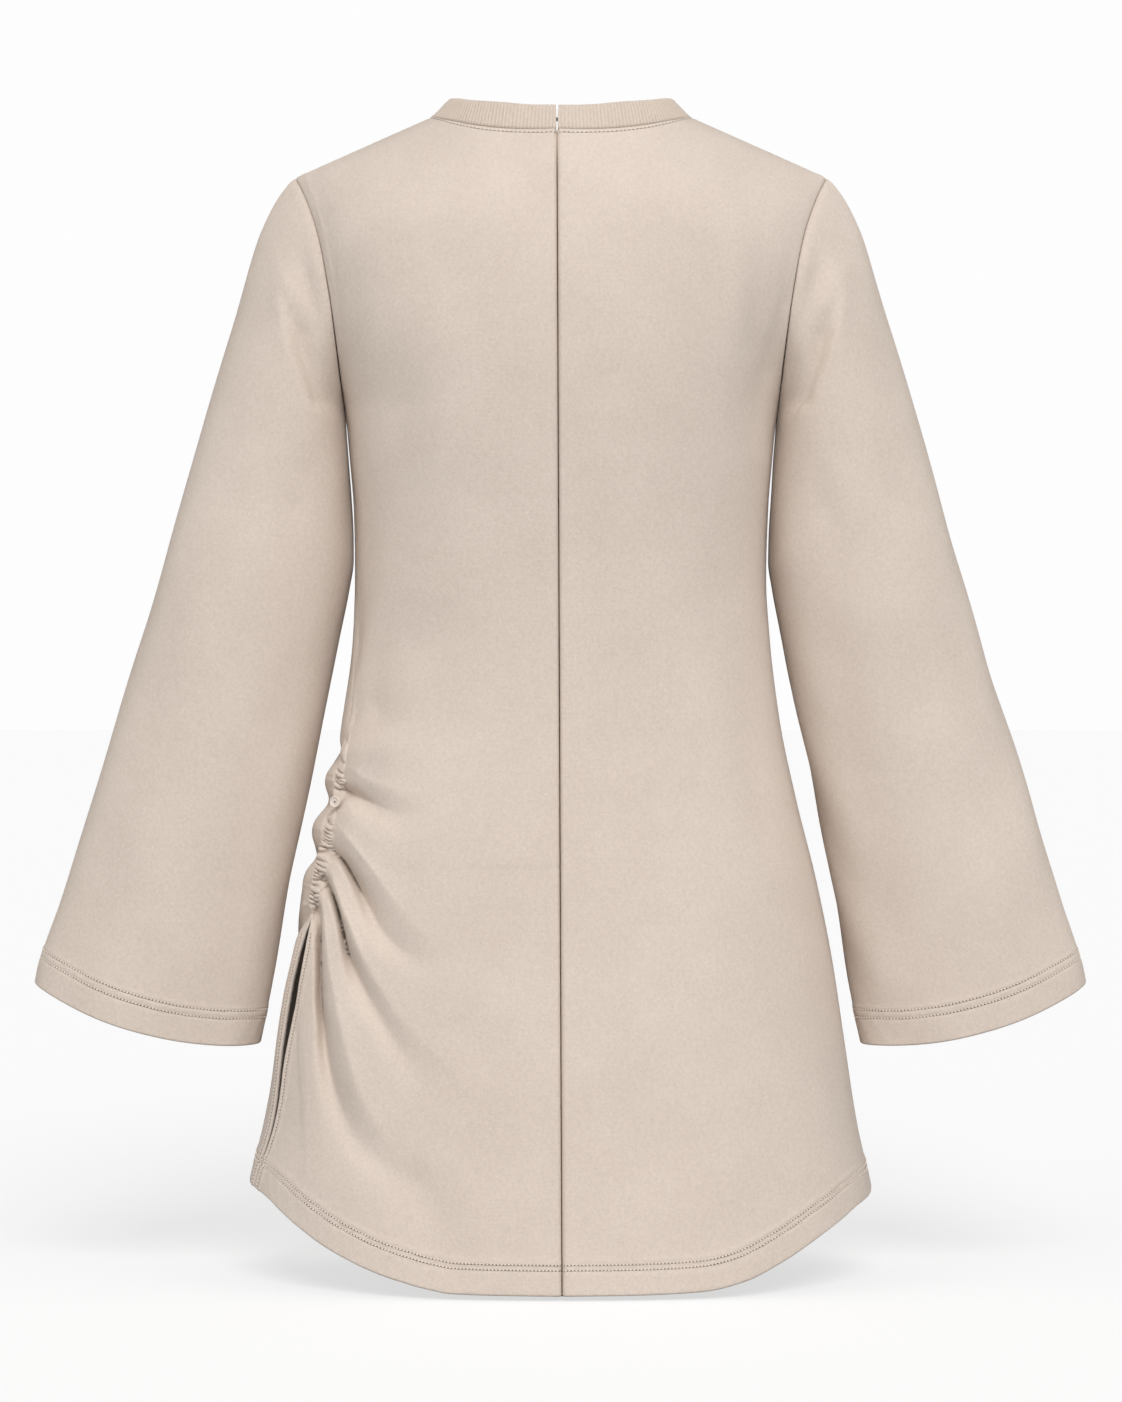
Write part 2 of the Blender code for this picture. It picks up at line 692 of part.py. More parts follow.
def build_catch(neckline):
    """A small flat catch that bridges the collar's slit on its inner side."""
    base = (neckline[0] + neckline[-1]) / 2
    up, face, height = (value[0] for value in rib_directions(base[None]))
    across = np.array([1.0, 0.0, 0.0])
    centre = base + up * height * 0.5
    front = centre - face * (RIB_WALL + CATCH_CLEARANCE)
    half, tall, deep = CATCH_LENGTH / 2, CATCH_HEIGHT / 2, CATCH_THICKNESS
    corners = []
    for step in range(8):
        angle = 2 * math.pi * (step + 0.5) / 8
        reach = np.sign(math.cos(angle)) * (half - tall) + tall * math.cos(angle)
        corners.append(across * reach + up * tall * math.sin(angle))
    vertices = [front + c for c in corners] + [front - face * deep + c for c in corners]
    faces = [tuple(range(8)), tuple(range(15, 7, -1))]
    faces += [(k, (k + 1) % 8, 8 + (k + 1) % 8, 8 + k) for k in range(8)]
    add_mesh("neck_catch", vertices, faces, CATCH_COLOUR, roughness=0.4)


def seam_frame(back, front, normals, heights):
    """Places on the left side seam at given heights, and directions out, to back and to front."""
    rows = np.arange(LEFT_ROWS + 1)
    row = np.interp(heights, back[0, rows, 2], rows)

    def read(line):
        return resample(line[rows], rows, row)

    place, way = read(back[0]), unit(read(normals[0]))
    return place, way, unit(read(back[1]) - place), unit(read(front[-2]) - place)


def build_gathers(back, front, normals):
    """The gathered channel over the left side seam, drawn up into small puckers."""
    samples = PUCKER_COUNT * PUCKER_SAMPLES + 1
    heights = np.linspace(GATHER_TOP_Z, GATHER_END_Z, samples)
    place, way, to_back, to_front = seam_frame(back, front, normals, heights)
    phase = np.arange(samples) % PUCKER_SAMPLES
    crest = np.where(phase == 0, 0.0, np.where(phase == 1, 1.0, 0.75))
    near_button = np.abs(heights - BUTTON_Z) < BUTTON_RADIUS + 3
    crest = np.where(near_button, 0.15, crest)
    lower, upper = [], []
    for offset in GATHER_OFFSETS:
        step = to_back if offset < 0 else to_front
        on_cloth = place + step * abs(offset) * GATHER_HALF_WIDTH + way * GATHER_LIFT
        crown = 1 - 0.55 * offset ** 2
        lower.append(on_cloth)
        upper.append(on_cloth + way * (GATHER_WALL + PUCKER_RAISE * crest * crown)[:, None])
    upper, lower = np.array(upper), np.array(lower)
    wall("side_gathers", upper, upper - lower, 1.0, CLOTH_COLOUR)
    k = np.abs(heights - BUTTON_Z).argmin()
    return place[k], way[k]


def build_button(place, way):
    """A small round button on a shank, which stands on the gathers and faces backwards."""
    axis = unit(np.array(BUTTON_AXIS))
    side = unit(np.cross(axis, np.array([0.0, 0.0, 1.0])))
    up = np.cross(side, axis)
    centre = place + way * BUTTON_LIFT
    vertices = []
    for radius, height in BUTTON_OUTLINE:
        for k in range(BUTTON_SIDES):
            turn = 2 * math.pi * k / BUTTON_SIDES
            round_step = side * math.cos(turn) + up * math.sin(turn)
            vertices.append(centre + round_step * radius + axis * height)
    faces = [tuple(range(BUTTON_SIDES))]
    for ring in range(len(BUTTON_OUTLINE) - 1):
        a, b = ring * BUTTON_SIDES, (ring + 1) * BUTTON_SIDES
        for k in range(BUTTON_SIDES):
            m = (k + 1) % BUTTON_SIDES
            faces.append((a + k, a + m, b + m, b + k))
    last = (len(BUTTON_OUTLINE) - 1) * BUTTON_SIDES
    faces.append(tuple(range(last, last + BUTTON_SIDES)))
    add_mesh("side_button", vertices, faces, BUTTON_COLOUR, roughness=0.5)


def build_garment():
    """All the pieces, with their shared edges worked out first."""
    back_left = half_panel(BACK, LEFT, BACK_LEFT_COLUMNS, LEFT_ROWS, BACK_FOLDS)
    back_right = half_panel(BACK, RIGHT, BACK_RIGHT_COLUMNS, RIGHT_ROWS, BACK_RIGHT_FOLDS)
    front_left = half_panel(FRONT, LEFT, FRONT_COLUMNS, LEFT_ROWS, FRONT_FOLDS)
    front_right = half_panel(FRONT, RIGHT, FRONT_COLUMNS, LEFT_ROWS, FRONT_FOLDS)
    front_left = match_side(front_left, back_left[-1], SIDE_EASE_COLUMNS)

    sleeves = {LEFT: sleeve(LEFT, armhole_loop(back_left, front_left)),
               RIGHT: sleeve(RIGHT, armhole_loop(back_right, front_right))}
    slit = curve(SLIT, back_left[-1, :, 2]) - SEAM_GAP
    front_left_open = open_slit(front_left.copy(), np.maximum(slit, 0))

    # Left to right across the back, and right to left across the front
    back_left = back_left[::-1].copy()
    front = np.concatenate([front_right[::-1], front_left_open[1:]])
    normal_bl = grid_normals(back_left)
    normal_br = grid_normals(back_right)
    normal_f = grid_normals(front)
    normal_sleeve = {hand: -hand * grid_normals(sleeves[hand], closed=True)
                     for hand in (LEFT, RIGHT)}

    # The centre seam and the right side seam lie in planes, so their walls end square to them
    for edge in (normal_bl[-1], normal_br[0]):
        edge[:, 0] = 0
        edge[:] = unit(edge)
    for edge in (normal_br[-1, :RIGHT_ROWS + 1], normal_f[0, :LEFT_ROWS + 1]):
        edge[:, 1] = 0
        edge[:] = unit(edge)
    shared = unit(normal_bl[0, :LEFT_ROWS + 1] + normal_f[-1, :LEFT_ROWS + 1])
    normal_bl[0, :LEFT_ROWS + 1] = shared
    normal_f[-1, :LEFT_ROWS + 1] = shared
    # Armholes
    armhole = slice(-ARMHOLE_ROWS - 1, None)
    for normal_b, column_b, column_f, hand in ((normal_bl, 0, -1, LEFT), (normal_br, -1, 0, RIGHT)):
        ring = normal_sleeve[hand][:, 0]
        up_back = normal_b[column_b, armhole]
        down_front = normal_f[column_f, armhole][::-1]
        body_ring = np.concatenate([up_back, down_front[1:-1]])
        top = ARMHOLE_ROWS
        body_ring[top] = unit(up_back[-1] + down_front[0])
        body_ring[0] = unit(up_back[0] + down_front[-1])
        ring = unit(ring + body_ring)
        normal_sleeve[hand][:, 0] = ring
        normal_b[column_b, armhole] = ring[:top + 1]
        normal_f[column_f, armhole] = np.concatenate([ring[top:], ring[:1]])[::-1]

    # Shoulder seams and neckline
    neck_l, neck_r, neck_f = BACK_LEFT_COLUMNS[0], BACK_RIGHT_COLUMNS[0], FRONT_COLUMNS[0]
    middle = sum(FRONT_COLUMNS)
    vertical = np.array([0.0, 0.0, 1.0])
    slope = NECK_Z / (SHOULDER_X - NECK_X)
    for hand, normal_b, columns_b, columns_f in (
            (LEFT, normal_bl, slice(1, sum(BACK_LEFT_COLUMNS) - neck_l),
             slice(middle + neck_f + 1, 2 * middle)),
            (RIGHT, normal_br, slice(neck_r + 1, sum(BACK_RIGHT_COLUMNS)),
             slice(1, middle - neck_f))):
        over = unit(np.array([hand * slope, 0.0, 1.0]))
        normal_b[columns_b, -1] = over
        normal_f[columns_f, -1] = over
    neckline = np.concatenate([
        back_right[:neck_r + 1, -1],
        front[middle - neck_f:middle + neck_f + 1, -1][1:-1],
        back_left[-1 - neck_l:, -1]])
    body_way = np.concatenate([
        normal_br[:neck_r + 1, -1],
        normal_f[middle - neck_f:middle + neck_f + 1, -1][1:-1],
        normal_bl[-1 - neck_l:, -1]])
    _, rib_way, _ = rib_directions(neckline)
    neck_way = unit(body_way + rib_way)
    for k in (neck_r, neck_r + 2 * neck_f):
        neck_way[k] = unit(vertical + rib_way[k])
    for _ in range(3):
        neck_way[1:-1] = unit(neck_way[:-2] + 2 * neck_way[1:-1] + neck_way[2:])
    normal_br[:neck_r + 1, -1] = neck_way[:neck_r + 1]
    normal_f[middle - neck_f:middle + neck_f + 1, -1] = neck_way[neck_r:neck_r + 2 * neck_f + 1]
    normal_bl[-1 - neck_l:, -1] = neck_way[neck_r + 2 * neck_f:]

    half_gap = SEAM_GAP / 2
    drawn = []
    for points, normals in ((back_left, normal_bl), (back_right, normal_br), (front, normal_f)):
        shifts = np.zeros_like(points)
        for edge in ("first", "last", "top"):
            shifts += inset(points, normals, edge, half_gap) - points
        drawn.append(points + shifts)
    wall("back_left", drawn[0], normal_bl, WALL, CLOTH_COLOUR)
    wall("back_right", drawn[1], normal_br, WALL, CLOTH_COLOUR)
    wall("front", drawn[2], normal_f, WALL, CLOTH_COLOUR)

    for hand, name in ((LEFT, "sleeve_left"), (RIGHT, "sleeve_right")):
        points, normals = sleeves[hand], normal_sleeve[hand]
        along = unit(points[:, 1] - points[:, 0])
        tangent = unit(np.roll(points[:, 0], -1, axis=0) - np.roll(points[:, 0], 1, axis=0))
        inwards = unit(np.cross(normals[:, 0], tangent))
        inwards *= np.sign((inwards * along).sum(-1, keepdims=True))
        points = points.copy()
        points[:, 0] += inwards * half_gap
        wall(name, points, normals, WALL, CLOTH_COLOUR, closed=True)

    build_collar(neckline, neck_way)
    build_catch(neckline)
    place, way = build_gathers(back_left, front, normal_bl)
    build_button(place, way)


def main():
    """Clears the scene and builds the sweatshirt."""
    for item in list(bpy.data.objects):
        bpy.data.objects.remove(item, do_unlink=True)
    build_garment()


main()
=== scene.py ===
"""Looks for a long sweatshirt in soft jersey, filled out as if worn, with its back to the camera.

Each sewn piece is a thin shell of cloth, drawn finely over the form of its solid, with the folds,
seams, hems and stitching that the solid leaves out.  Lengths are in millimetres until a mesh is
made.  The origin lies midway between the shoulder points; +X is the wearer's right, +Z is up.
"""

import math

import bpy
import numpy as np
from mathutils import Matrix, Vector


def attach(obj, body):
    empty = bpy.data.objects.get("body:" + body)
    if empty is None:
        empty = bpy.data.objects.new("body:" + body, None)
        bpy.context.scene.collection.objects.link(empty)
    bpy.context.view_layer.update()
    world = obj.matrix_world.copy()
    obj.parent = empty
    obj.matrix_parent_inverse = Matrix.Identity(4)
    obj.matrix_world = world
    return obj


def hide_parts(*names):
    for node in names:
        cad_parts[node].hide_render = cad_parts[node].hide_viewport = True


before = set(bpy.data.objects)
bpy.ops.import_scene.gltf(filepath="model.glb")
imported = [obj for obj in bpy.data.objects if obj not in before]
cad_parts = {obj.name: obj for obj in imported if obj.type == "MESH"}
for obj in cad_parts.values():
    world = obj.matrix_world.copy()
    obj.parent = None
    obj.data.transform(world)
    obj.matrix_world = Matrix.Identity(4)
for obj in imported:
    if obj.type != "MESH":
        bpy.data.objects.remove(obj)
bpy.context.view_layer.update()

MM = 0.001
# Metres: the view is 1.0515 m tall at the shoulder plane
CAMERA_DISTANCE = 3.2
CAMERA_Z = -0.392
VIEW_HEIGHT = 1.0515
CAMERA_MM = CAMERA_DISTANCE / MM
LEFT = -1
RIGHT = 1
BACK = -1
FRONT = 1
UP = np.array([0.0, 0.0, 1.0])
TURNED = slice(None, None, -1)

# Form of the body, as in the solids
SECTION_POWER = 2.3
SHOULDER_X = 199.0
NECK_X = 95.0
NECK_Z = 46.0
BACK_NECK_Z = 29.0
BACK_NECK_POWER = 2.8
FRONT_NECK_Z = -35.0
FRONT_NECK_POWER = 2.2
BACK_SHOULDER_ROUND = 90.0
FRONT_SHOULDER_ROUND = 108.0
CENTRE_SEAM_TOP_X = -3.0
CENTRE_SEAM_HEM_X = 0.7
UNDERARM_Z = -174.0
SIDE_HEM_Z = -756.0
HEM_DROP = 64.0
CENTRE_HEM_Z = SIDE_HEM_Z - HEM_DROP

# Height, half-width, depth of the back and depth of the front
BODY_FORM = (
    (75, 199, 60, 55),
    (30, 199, 67, 64),
    (0, 199, 80, 76),
    (-50, 194, 96, 92),
    (-100, 185, 104, 104),
    (-150, 168, 107, 114),
    (-174, 162, 107, 117),
    (-210, 158, 105, 118),
    (-250, 155, 102, 117),
    (-301, 153.5, 99, 114),
    (-346, 156, 98, 112),
    (-406, 163.5, 101, 113),
    (-466, 176, 107, 117),
    (-526, 191, 114, 122),
    (-586, 203, 120, 127),
    (-646, 212, 125, 131),
    (-706, 221, 129, 135),
    (-757, 232, 132, 138),
    (-840, 244, 136, 142),
)
# Height and distance from the middle of the armhole's edge
ARMHOLE = (
    (-174, 162),
    (-160, 163.3),
    (-136, 165.7),
    (-108, 169),
    (-88, 172),
    (-64, 176.3),
    (-46, 180.5),
    (-20, 189.5),
    (0, 199),
)
# Height and angle from the middle of the back of the left side seam
LEFT_SEAM = (
    (-174, 90),
    (-240, 88),
    (-300, 84),
    (-346, 79),
    (-403, 71.5),
    (-470, 69.5),
    (-547, 69),
    (-580, 69.6),
    (-628, 71.4),
    (-700, 72.8),
    (-757, 75.6),
)
# Angle from the middle and share of the hem's drop there
HEM_CURVE = (
    (0, 1),
    (12, 0.99),
    (22, 0.965),
    (30, 0.875),
    (39, 0.68),
    (50, 0.425),
    (58, 0.27),
    (69, 0.11),
    (90, 0),
)
# Distance from the middle and how much the gathers lift the left half's hem there
LEFT_HEM_RISE = (
    (0, 0.0),
    (82, 0.0),
    (113, 4.8),
    (138, 6.0),
    (163, 4.4),
    (179, 3.6),
    (196, 4.4),
    (212, 6.8),
    (230, 8.6),
)
# How far up the lifted hem's rise fades out
LEFT_RISE_FADE = 70.0
# Side slit below the gathers: height and opening between the two edges
SLIT = (
    (-840, 3.0),
    (-757, 4.0),
    (-700, 7.0),
    (-650, 10.0),
    (-610, 10.5),
    (-582, 8.0),
    (-564, 4.5),
    (-549, 0.3),
    (-174, 0.3),
)
SEAM_GAP = 0.3
# Height and how far the back's slit edge stands off the front's
SLIT_STAND = (
    (-840, 1.0),
    (-700, 3.5),
    (-620, 6.0),
    (-575, 5.0),
    (-549, 0.0),
)
# Height and how far the back's slit edge lies further in
SLIT_IN = (
    (-840, 0.0),
    (-665, 0.0),
    (-618, 1.9),
    (-575, 1.5),
    (-549, 0.0),
)

# Sharp folds that fan out of the gathers.  Each is a trough whose far wall rises to a crisp crest:
# the trough's line, the crest's line, depths and crest heights spread evenly along the two lines,
# the trough's width on its near side, and how far the crest takes to fall away.  The lines are in
# picture points as the camera sees them, PICTURE_POINT mm each, with the origin at PICTURE_ORIGIN.
PICTURE_POINT = 0.75
PICTURE_ORIGIN = (561, 178)
SHARP_FOLDS = (
    # rolled edge above the gathers
    (((364, 690), (352, 733), (342, 757)), ((368, 698), (357, 732), (346, 751)),
     (0.0, 2.5, 0.0), (0.0, 2.5, 0.5), 5.0, 9.0),
    # hooked trough above the button
    (((343, 788), (352, 792), (363, 798), (382, 807), (402, 813), (424, 814)),
     ((341, 763), (355, 770), (367, 778), (387, 786), (410, 792), (438, 791)),
     (8.0, 13.0, 9.0, 4.0, 1.5, 0.0), (5.5, 7.0, 3.0, 1.0, 0.0), 4.0, 20.0),
    # second trough
    (((333, 850), (343, 861), (353, 878), (367, 904), (379, 926), (397, 946), (421, 962), (446, 976)),
     ((334, 818), (347, 835), (368, 863), (380, 880), (393, 898), (413, 921), (438, 943)),
     (8.0, 17.0, 15.5, 11.0, 7.0, 4.0, 1.5, 0.0), (5.5, 8.5, 7.0, 3.5, 1.0, 0.0), 2.6, 15.0),
    # long third trough
    (((326, 880), (336, 904), (343, 929), (347, 947), (352, 963), (361, 984), (379, 1016),
      (404, 1055), (430, 1088), (456, 1114)),
     ((330, 872), (341, 904), (352, 929), (359, 947), (367, 964), (379, 985), (396, 1010), (422, 1042)),
     (9.0, 17.5, 18.0, 15.0, 11.0, 7.0, 4.5, 2.5, 1.0, 0.0),
     (6.0, 8.5, 7.5, 4.0, 1.5, 0.0), 2.4, 12.0),
    # trough that runs down from the end of the gathers
    (((319, 908), (321, 933), (321, 956), (321, 997), (324, 1025), (327, 1053), (333, 1085),
      (342, 1112), (358, 1142), (383, 1168), (412, 1188)),
     ((321, 896), (325, 929), (329, 962), (336, 1002), (346, 1044), (358, 1089), (372, 1117),
      (390, 1146), (410, 1170)),
     (9.0, 17.0, 19.0, 18.0, 14.0, 10.0, 6.5, 3.5, 1.5, 0.0),
     (5.0, 8.0, 7.5, 6.5, 4.5, 2.5, 1.0, 0.0), 3.0, 14.0),
    # thin crest beside the slit
    (((297, 950), (297, 1011), (298, 1067), (301, 1178)),
     ((304, 950), (303.6, 1011), (305, 1067), (308, 1182)),
     (0.0, 0.2, 0.2, 0.0), (0.6, 1.9, 1.8, 0.4), 6.0, 9.0),
)
# How much wider the near side of a sharp fold is where the fold runs out
NEAR_SOFTENING = 4.0
SOFTENING_POWER = 1.5
# Share of a sharp fold's wall that is steep out of the trough, how steep, and how fast that fades
STEEP_SHARE = 0.8
STEEPNESS = 5
STEEP_FADE = 0.7

# Folds: a route of (across, z) points, widths and heights spread evenly along it, and a lean.
# A lean above 0 makes the fold steep on its upper side, and below 0 on its lower side, over
# LEAN_REACH.
LEAN_REACH = 3.0
BACK_FOLDS = (
    # bright fan above the gathers
    (((-160, -430), (-138, -428), (-112, -426), (-80, -424)), (9, 15, 24), (3.0, 3.4, 0.0), 0.1),
    (((-156, -404), (-136, -398), (-112, -392)), (7, 12, 16), (0.0, -1.8, 0.0), 0.0),
    # ridge at the button
    (((-162, -472), (-150, -478), (-132, -488), (-108, -494), (-80, -492)),
     (8, 15, 24), (2.0, 2.6, 0.0), 0.1),
    # crease where the side turns away above the gathers
    (((-124, -262), (-130, -307), (-139, -339), (-149, -378), (-158, -412)),
     (9, 7, 5), (0.0, 1.8, 3.2), 0.0),
    (((-143, -270), (-149, -320), (-155, -362), (-160, -398)), (8, 6, 5), (0.0, -2.2, -3.0), 0.0),
    # broad hollow where the last trough runs out
    (((-138, -699), (-118, -728), (-96, -757), (-77, -794)), (12, 18, 24), (0.0, -3.2, -1.5), 0.2),
    # soft waves across the panel
    (((-106, -617), (-66, -640), (-28, -660)), (18, 22, 24), (0.0, -1.8, 0.0), 0.0),
    (((-138, -392), (-108, -350), (-90, -318)), (12, 18, 22), (-1.0, -1.8, 0.0), 0.0),
    (((-118, -458), (-90, -420), (-60, -384), (-26, -335)), (12, 20, 24), (0.0, -2.0, 0.0), 0.0),
    (((-118, -108), (-119, -175), (-118, -250)), (16, 20, 22), (0.0, -2.6, 0.0), 0.0),
    (((-78, -60), (-84, -140), (-92, -230)), (20, 24, 26), (0.0, 1.0, 0.0), 0.0),
)
BACK_RIGHT_FOLDS = (
    (((126, -30), (129, -110), (128, -190)), (11, 13, 15), (0.0, 1.8, 0.0), 0.0),
    (((143, -50), (146, -130), (147, -210)), (9, 12, 14), (0.0, -2.6, 0.0), 0.0),
    (((166, -96), (158, -130), (150, -168), (146, -215)), (5, 8, 12), (-0.8, -2.2, 0.0), 0.0),
    (((128, -290), (140, -420), (168, -570)), (13, 16, 18), (0.0, -2.2, 0.0), 0.0),
    (((108, -330), (118, -450), (140, -580)), (16, 20, 24), (0.0, 1.2, 0.0), 0.0),
    (((60, -640), (68, -730), (72, -815)), (20, 24, 26), (0.0, -1.8, -0.6), 0.0),
    (((118, -660), (132, -730), (142, -790)), (18, 22, 24), (0.0, 1.4, 0.4), 0.0),
)
# Folds of the front's left side, which fan forward from the same gathers: (y, z) points
FRONT_SIDE_FOLDS = (
    (((-44, -447), (0, -449), (40, -440), (90, -424)), (9, 15, 22), (4.6, 4.4, 0.0), 0.0),
    (((-45, -484), (0, -486), (45, -494), (95, -506)), (10, 17, 24), (5.0, 5.2, 0.0), 0.0),
    (((-46, -520), (0, -525), (40, -566), (85, -618)), (9, 16, 24), (2.8, 2.6, 0.0), 0.0),
    (((-43, -432), (0, -431), (40, -405), (75, -376)), (4, 12, 18), (-4.5, -2.5, 0.0), 0.0),
    (((-44, -466), (0, -468), (45, -464), (95, -458)), (4, 12, 20), (-5.0, -3.0, 0.0), 0.0),
    (((-45, -505), (0, -508), (45, -532), (95, -570)), (4, 12, 22), (-5.5, -3.5, 0.0), 0.0),
    (((-46, -546), (0, -572), (45, -640), (88, -704)), (5, 14, 26), (-5.0, -3.5, 0.0), 0.0),
    (((-36, -560), (0, -610), (10, -660), (20, -730)), (14, 20, 26), (0.0, -3.4, -2.0, 0.0), 0.0),
)
# Soft folds over the front: (x, z) points
FRONT_FOLDS = (
    (((-118, -130), (-112, -220), (-118, -310)), (14, 18, 20), (0.0, -2.6, 0.0), 0.0),
    (((122, -120), (118, -210), (124, -310)), (14, 18, 20), (0.0, -2.6, 0.0), 0.0),
    (((163, -104), (150, -140), (140, -190)), (5, 8, 12), (-0.8, -2.2, 0.0), 0.0),
    (((-163, -104), (-150, -140), (-140, -190)), (5, 8, 12), (-0.8, -2.2, 0.0), 0.0),
    (((-150, -470), (-110, -520), (-60, -590)), (10, 16, 22), (0.0, -2.6, 0.0), 0.0),
    (((-150, -440), (-105, -455), (-50, -480)), (10, 16, 22), (0.0, -2.2, 0.0), 0.0),
    (((-96, -600), (-60, -690), (-40, -790)), (18, 22, 26), (0.0, -2.2, -1.2), 0.0),
    (((84, -540), (96, -660), (100, -790)), (18, 22, 24), (0.0, -2.2, -1.2), 0.0),
    (((30, -450), (24, -600), (34, -780)), (24, 28, 30), (0.0, 1.8, 1.4), 0.0),
)
# Folds of the sleeves that start at the armhole: (distance from the middle, z) points
SLEEVE_FOLDS = (
    (((193, -50), (187, -80), (179, -116)), (5, 8, 10), (0.0, -4.4, -0.8), 0.1),
    (((206, -84), (195, -122), (178, -168)), (6, 8, 9), (0.0, -8.0, -5.0), 0.3),
    (((210, -62), (202, -100), (190, -142)), (7, 10, 11), (0.0, 3.6, 0.4), -0.1),
    (((182, -200), (196, -250), (214, -330)), (9, 12, 16), (0.0, -2.4, 0.0), 0.0),
    (((246, -180), (246, -250), (258, -330)), (14, 18, 22), (0.0, -2.2, 0.0), 0.0),
    (((222, -260), (232, -360), (250, -470)), (14, 18, 22), (0.0, 1.4, 0.0), 0.0),
)

# Height of the slow waves over the body and the sleeves
BODY_WAVES = 0.5
SLEEVE_WAVES = 0.6
SLEEVE_WAVE_SHIFT = 120

# Sleeves: inner and outer outline as (height, distance from the middle)
SLEEVE_INNER = (
    (-174, 162),
    (-190, 160.9),
    (-210, 159.0),
    (-240, 156.7),
    (-270, 155.3),
    (-287, 155.2),
    (-308, 158.2),
    (-346, 166),
    (-391, 175),
    (-466, 190.5),
    (-541, 205.5),
    (-616, 219),
    (-648, 225),
)
SLEEVE_OUTER = (
    (-603, 394),
    (-586.5, 390.5),
    (-541.5, 375),
    (-466.5, 352),
    (-391.5, 328.5),
    (-316.5, 306),
    (-241.5, 284),
    (-166.5, 263),
    (-106.5, 245),
    (-46.5, 227),
    (-31.5, 220.5),
    (-13.5, 211),
    (-4.5, 204),
    (0, 199),
)
CUFF_INNER_Z = -648.0
CUFF_OUTER_Z = -603.0
CUFF_BOW = 12.8
SLEEVE_POWER = 2.15
OUTER_LEAD = 0.75
# Share of the sleeve's length and half of its depth
SLEEVE_DEPTH = (
    (0, 50),
    (0.15, 54),
    (0.3, 54),
    (0.5, 51),
    (0.75, 47.5),
    (1, 45),
)
ARMHOLE_FADE = 0.32
# Groove of the underarm seam
UNDERARM_DEPTH = 0.8
UNDERARM_WIDTH = 1.4
# Flutes down each sleeve: share round the ring from the underarm over the back, width and height
SLEEVE_FLUTES = (
    (0.16, 0.045, -2.2),
    (0.29, 0.05, 1.6),
    (0.37, 0.045, -1.8),
    (0.63, 0.05, -1.6),
    (0.8, 0.05, 1.8),
)

# Collar
RIB_PITCH = 2.8
RIB_RAISE = 0.42
RIB_WALL = 2.6
RIB_BULGE = 0.5
RIB_SAMPLES = 8
RIB_EDGE_ARC = 7
# How full the ribs are, and their height at the fold and inside, as a share of that outside
RIB_FULLNESS = 0.8
INNER_RIBS = 0.8
COLLAR_FLARE = 3.2
# Angle round the neck from the middle of the back, and how far the collar goes in and up there
COLLAR = (
    (0, 10, 19.2),
    (14, 8.6, 19.4),
    (28, 7.2, 20),
    (58, 9, 16.8),
    (90, 12, 13.0),
    (130, 13, 14),
    (180, 12, 16),
)
BACK_NECK_DEPTH = 62.0
FRONT_NECK_DEPTH = 78.0
# Share of the collar's height and half of the slit there, which closes within SLIT_FADE
SLIT_HALF = ((0.0, 0.3), (0.45, 0.1), (1.0, 0.65))
SLIT_FADE = 3.5
# Closed wires of the catch as (across, up) points, and how far each stands off the collar
CATCH_WIRES = (
    (((1.2, 0.0), (0.6, 1.1), (-1.2, 1.15), (-3.4, 1.5), (-4.4, 0.9), (-3.9, 0.25),
      (-3.9, -0.25), (-4.4, -0.9), (-3.4, -1.5), (-1.2, -1.15), (0.6, -1.1)), 0.0),
    (((4.6, 1.2), (3.9, 0.4), (1.0, 0.45), (-0.4, 0.25), (-0.4, -0.25), (1.0, -0.45),
      (3.9, -0.4), (4.6, -1.2), (5.2, 0.0)), 0.45),
)
CATCH_WIRE_RADIUS = 0.45
CATCH_STEPS = 6
CATCH_OFFSET = 1.5

# Gathers of the left side seam and the button on them
GATHER_END_Z = -548.0
# Height on the seam and puckers counted down to it
PUCKERS = (
    (-402, 0),
    (-421, 1),
    (-436, 2),
    (-442.5, 2.7),
    (-456, 7),
    (-469, 8),
    (-482, 9),
    (-504, 17),
    (-507, 17.4),
    (-528.5, 24),
    (-530, 24.3),
    (-542, 28),
    (-548, 29),
)
PUCKER_COUNT = PUCKERS[-1][1]
PUCKER_SAMPLES = 12
PUCKER_RAISE = 3.9
BAND_BACK = 14.0
BAND_FRONT = 4.5
BAND_COLUMNS = 30
BAND_RISE = 0.3
BAND_CLOTH = 0.9
PUCKER_SLANT = 2.2
BUTTON_Z = -469.0
BUTTON_AXIS = (-0.50, -0.86, 0.06)
BUTTON_LIFT = 4.95
BUTTON_REACH = 10.0
# Share of the puckers' height that is pressed flat under the button, and how far up and down
BUTTON_PRESS = 0.85
BUTTON_PRESS_REACH = 6.5
BUTTON_SIDES = 56
# Turned outline of the button on its shank: radius and height along its axis
BUTTON_OUTLINE = (
    (1.5, -2.2), (1.45, -0.6), (1.6, 0.0), (3.6, 0.05), (4.25, 0.3), (4.5, 0.8),
    (4.5, 1.35), (4.35, 1.8), (4.0, 2.05), (3.6, 2.1), (3.25, 1.95), (3.0, 1.62),
    (2.7, 1.5), (1.6, 1.42), (0.95, 1.5), (0.72, 1.42), (0.62, 0.9), (0.6, 0.7),
)
# The button's eye, painted dark as the shade in its centre hole, lies within this radius
BUTTON_SHADED_EYE = 0.8

# Knit: distance between wales and between courses
WALE_PITCH = 1.25
COURSE_PITCH = 0.95

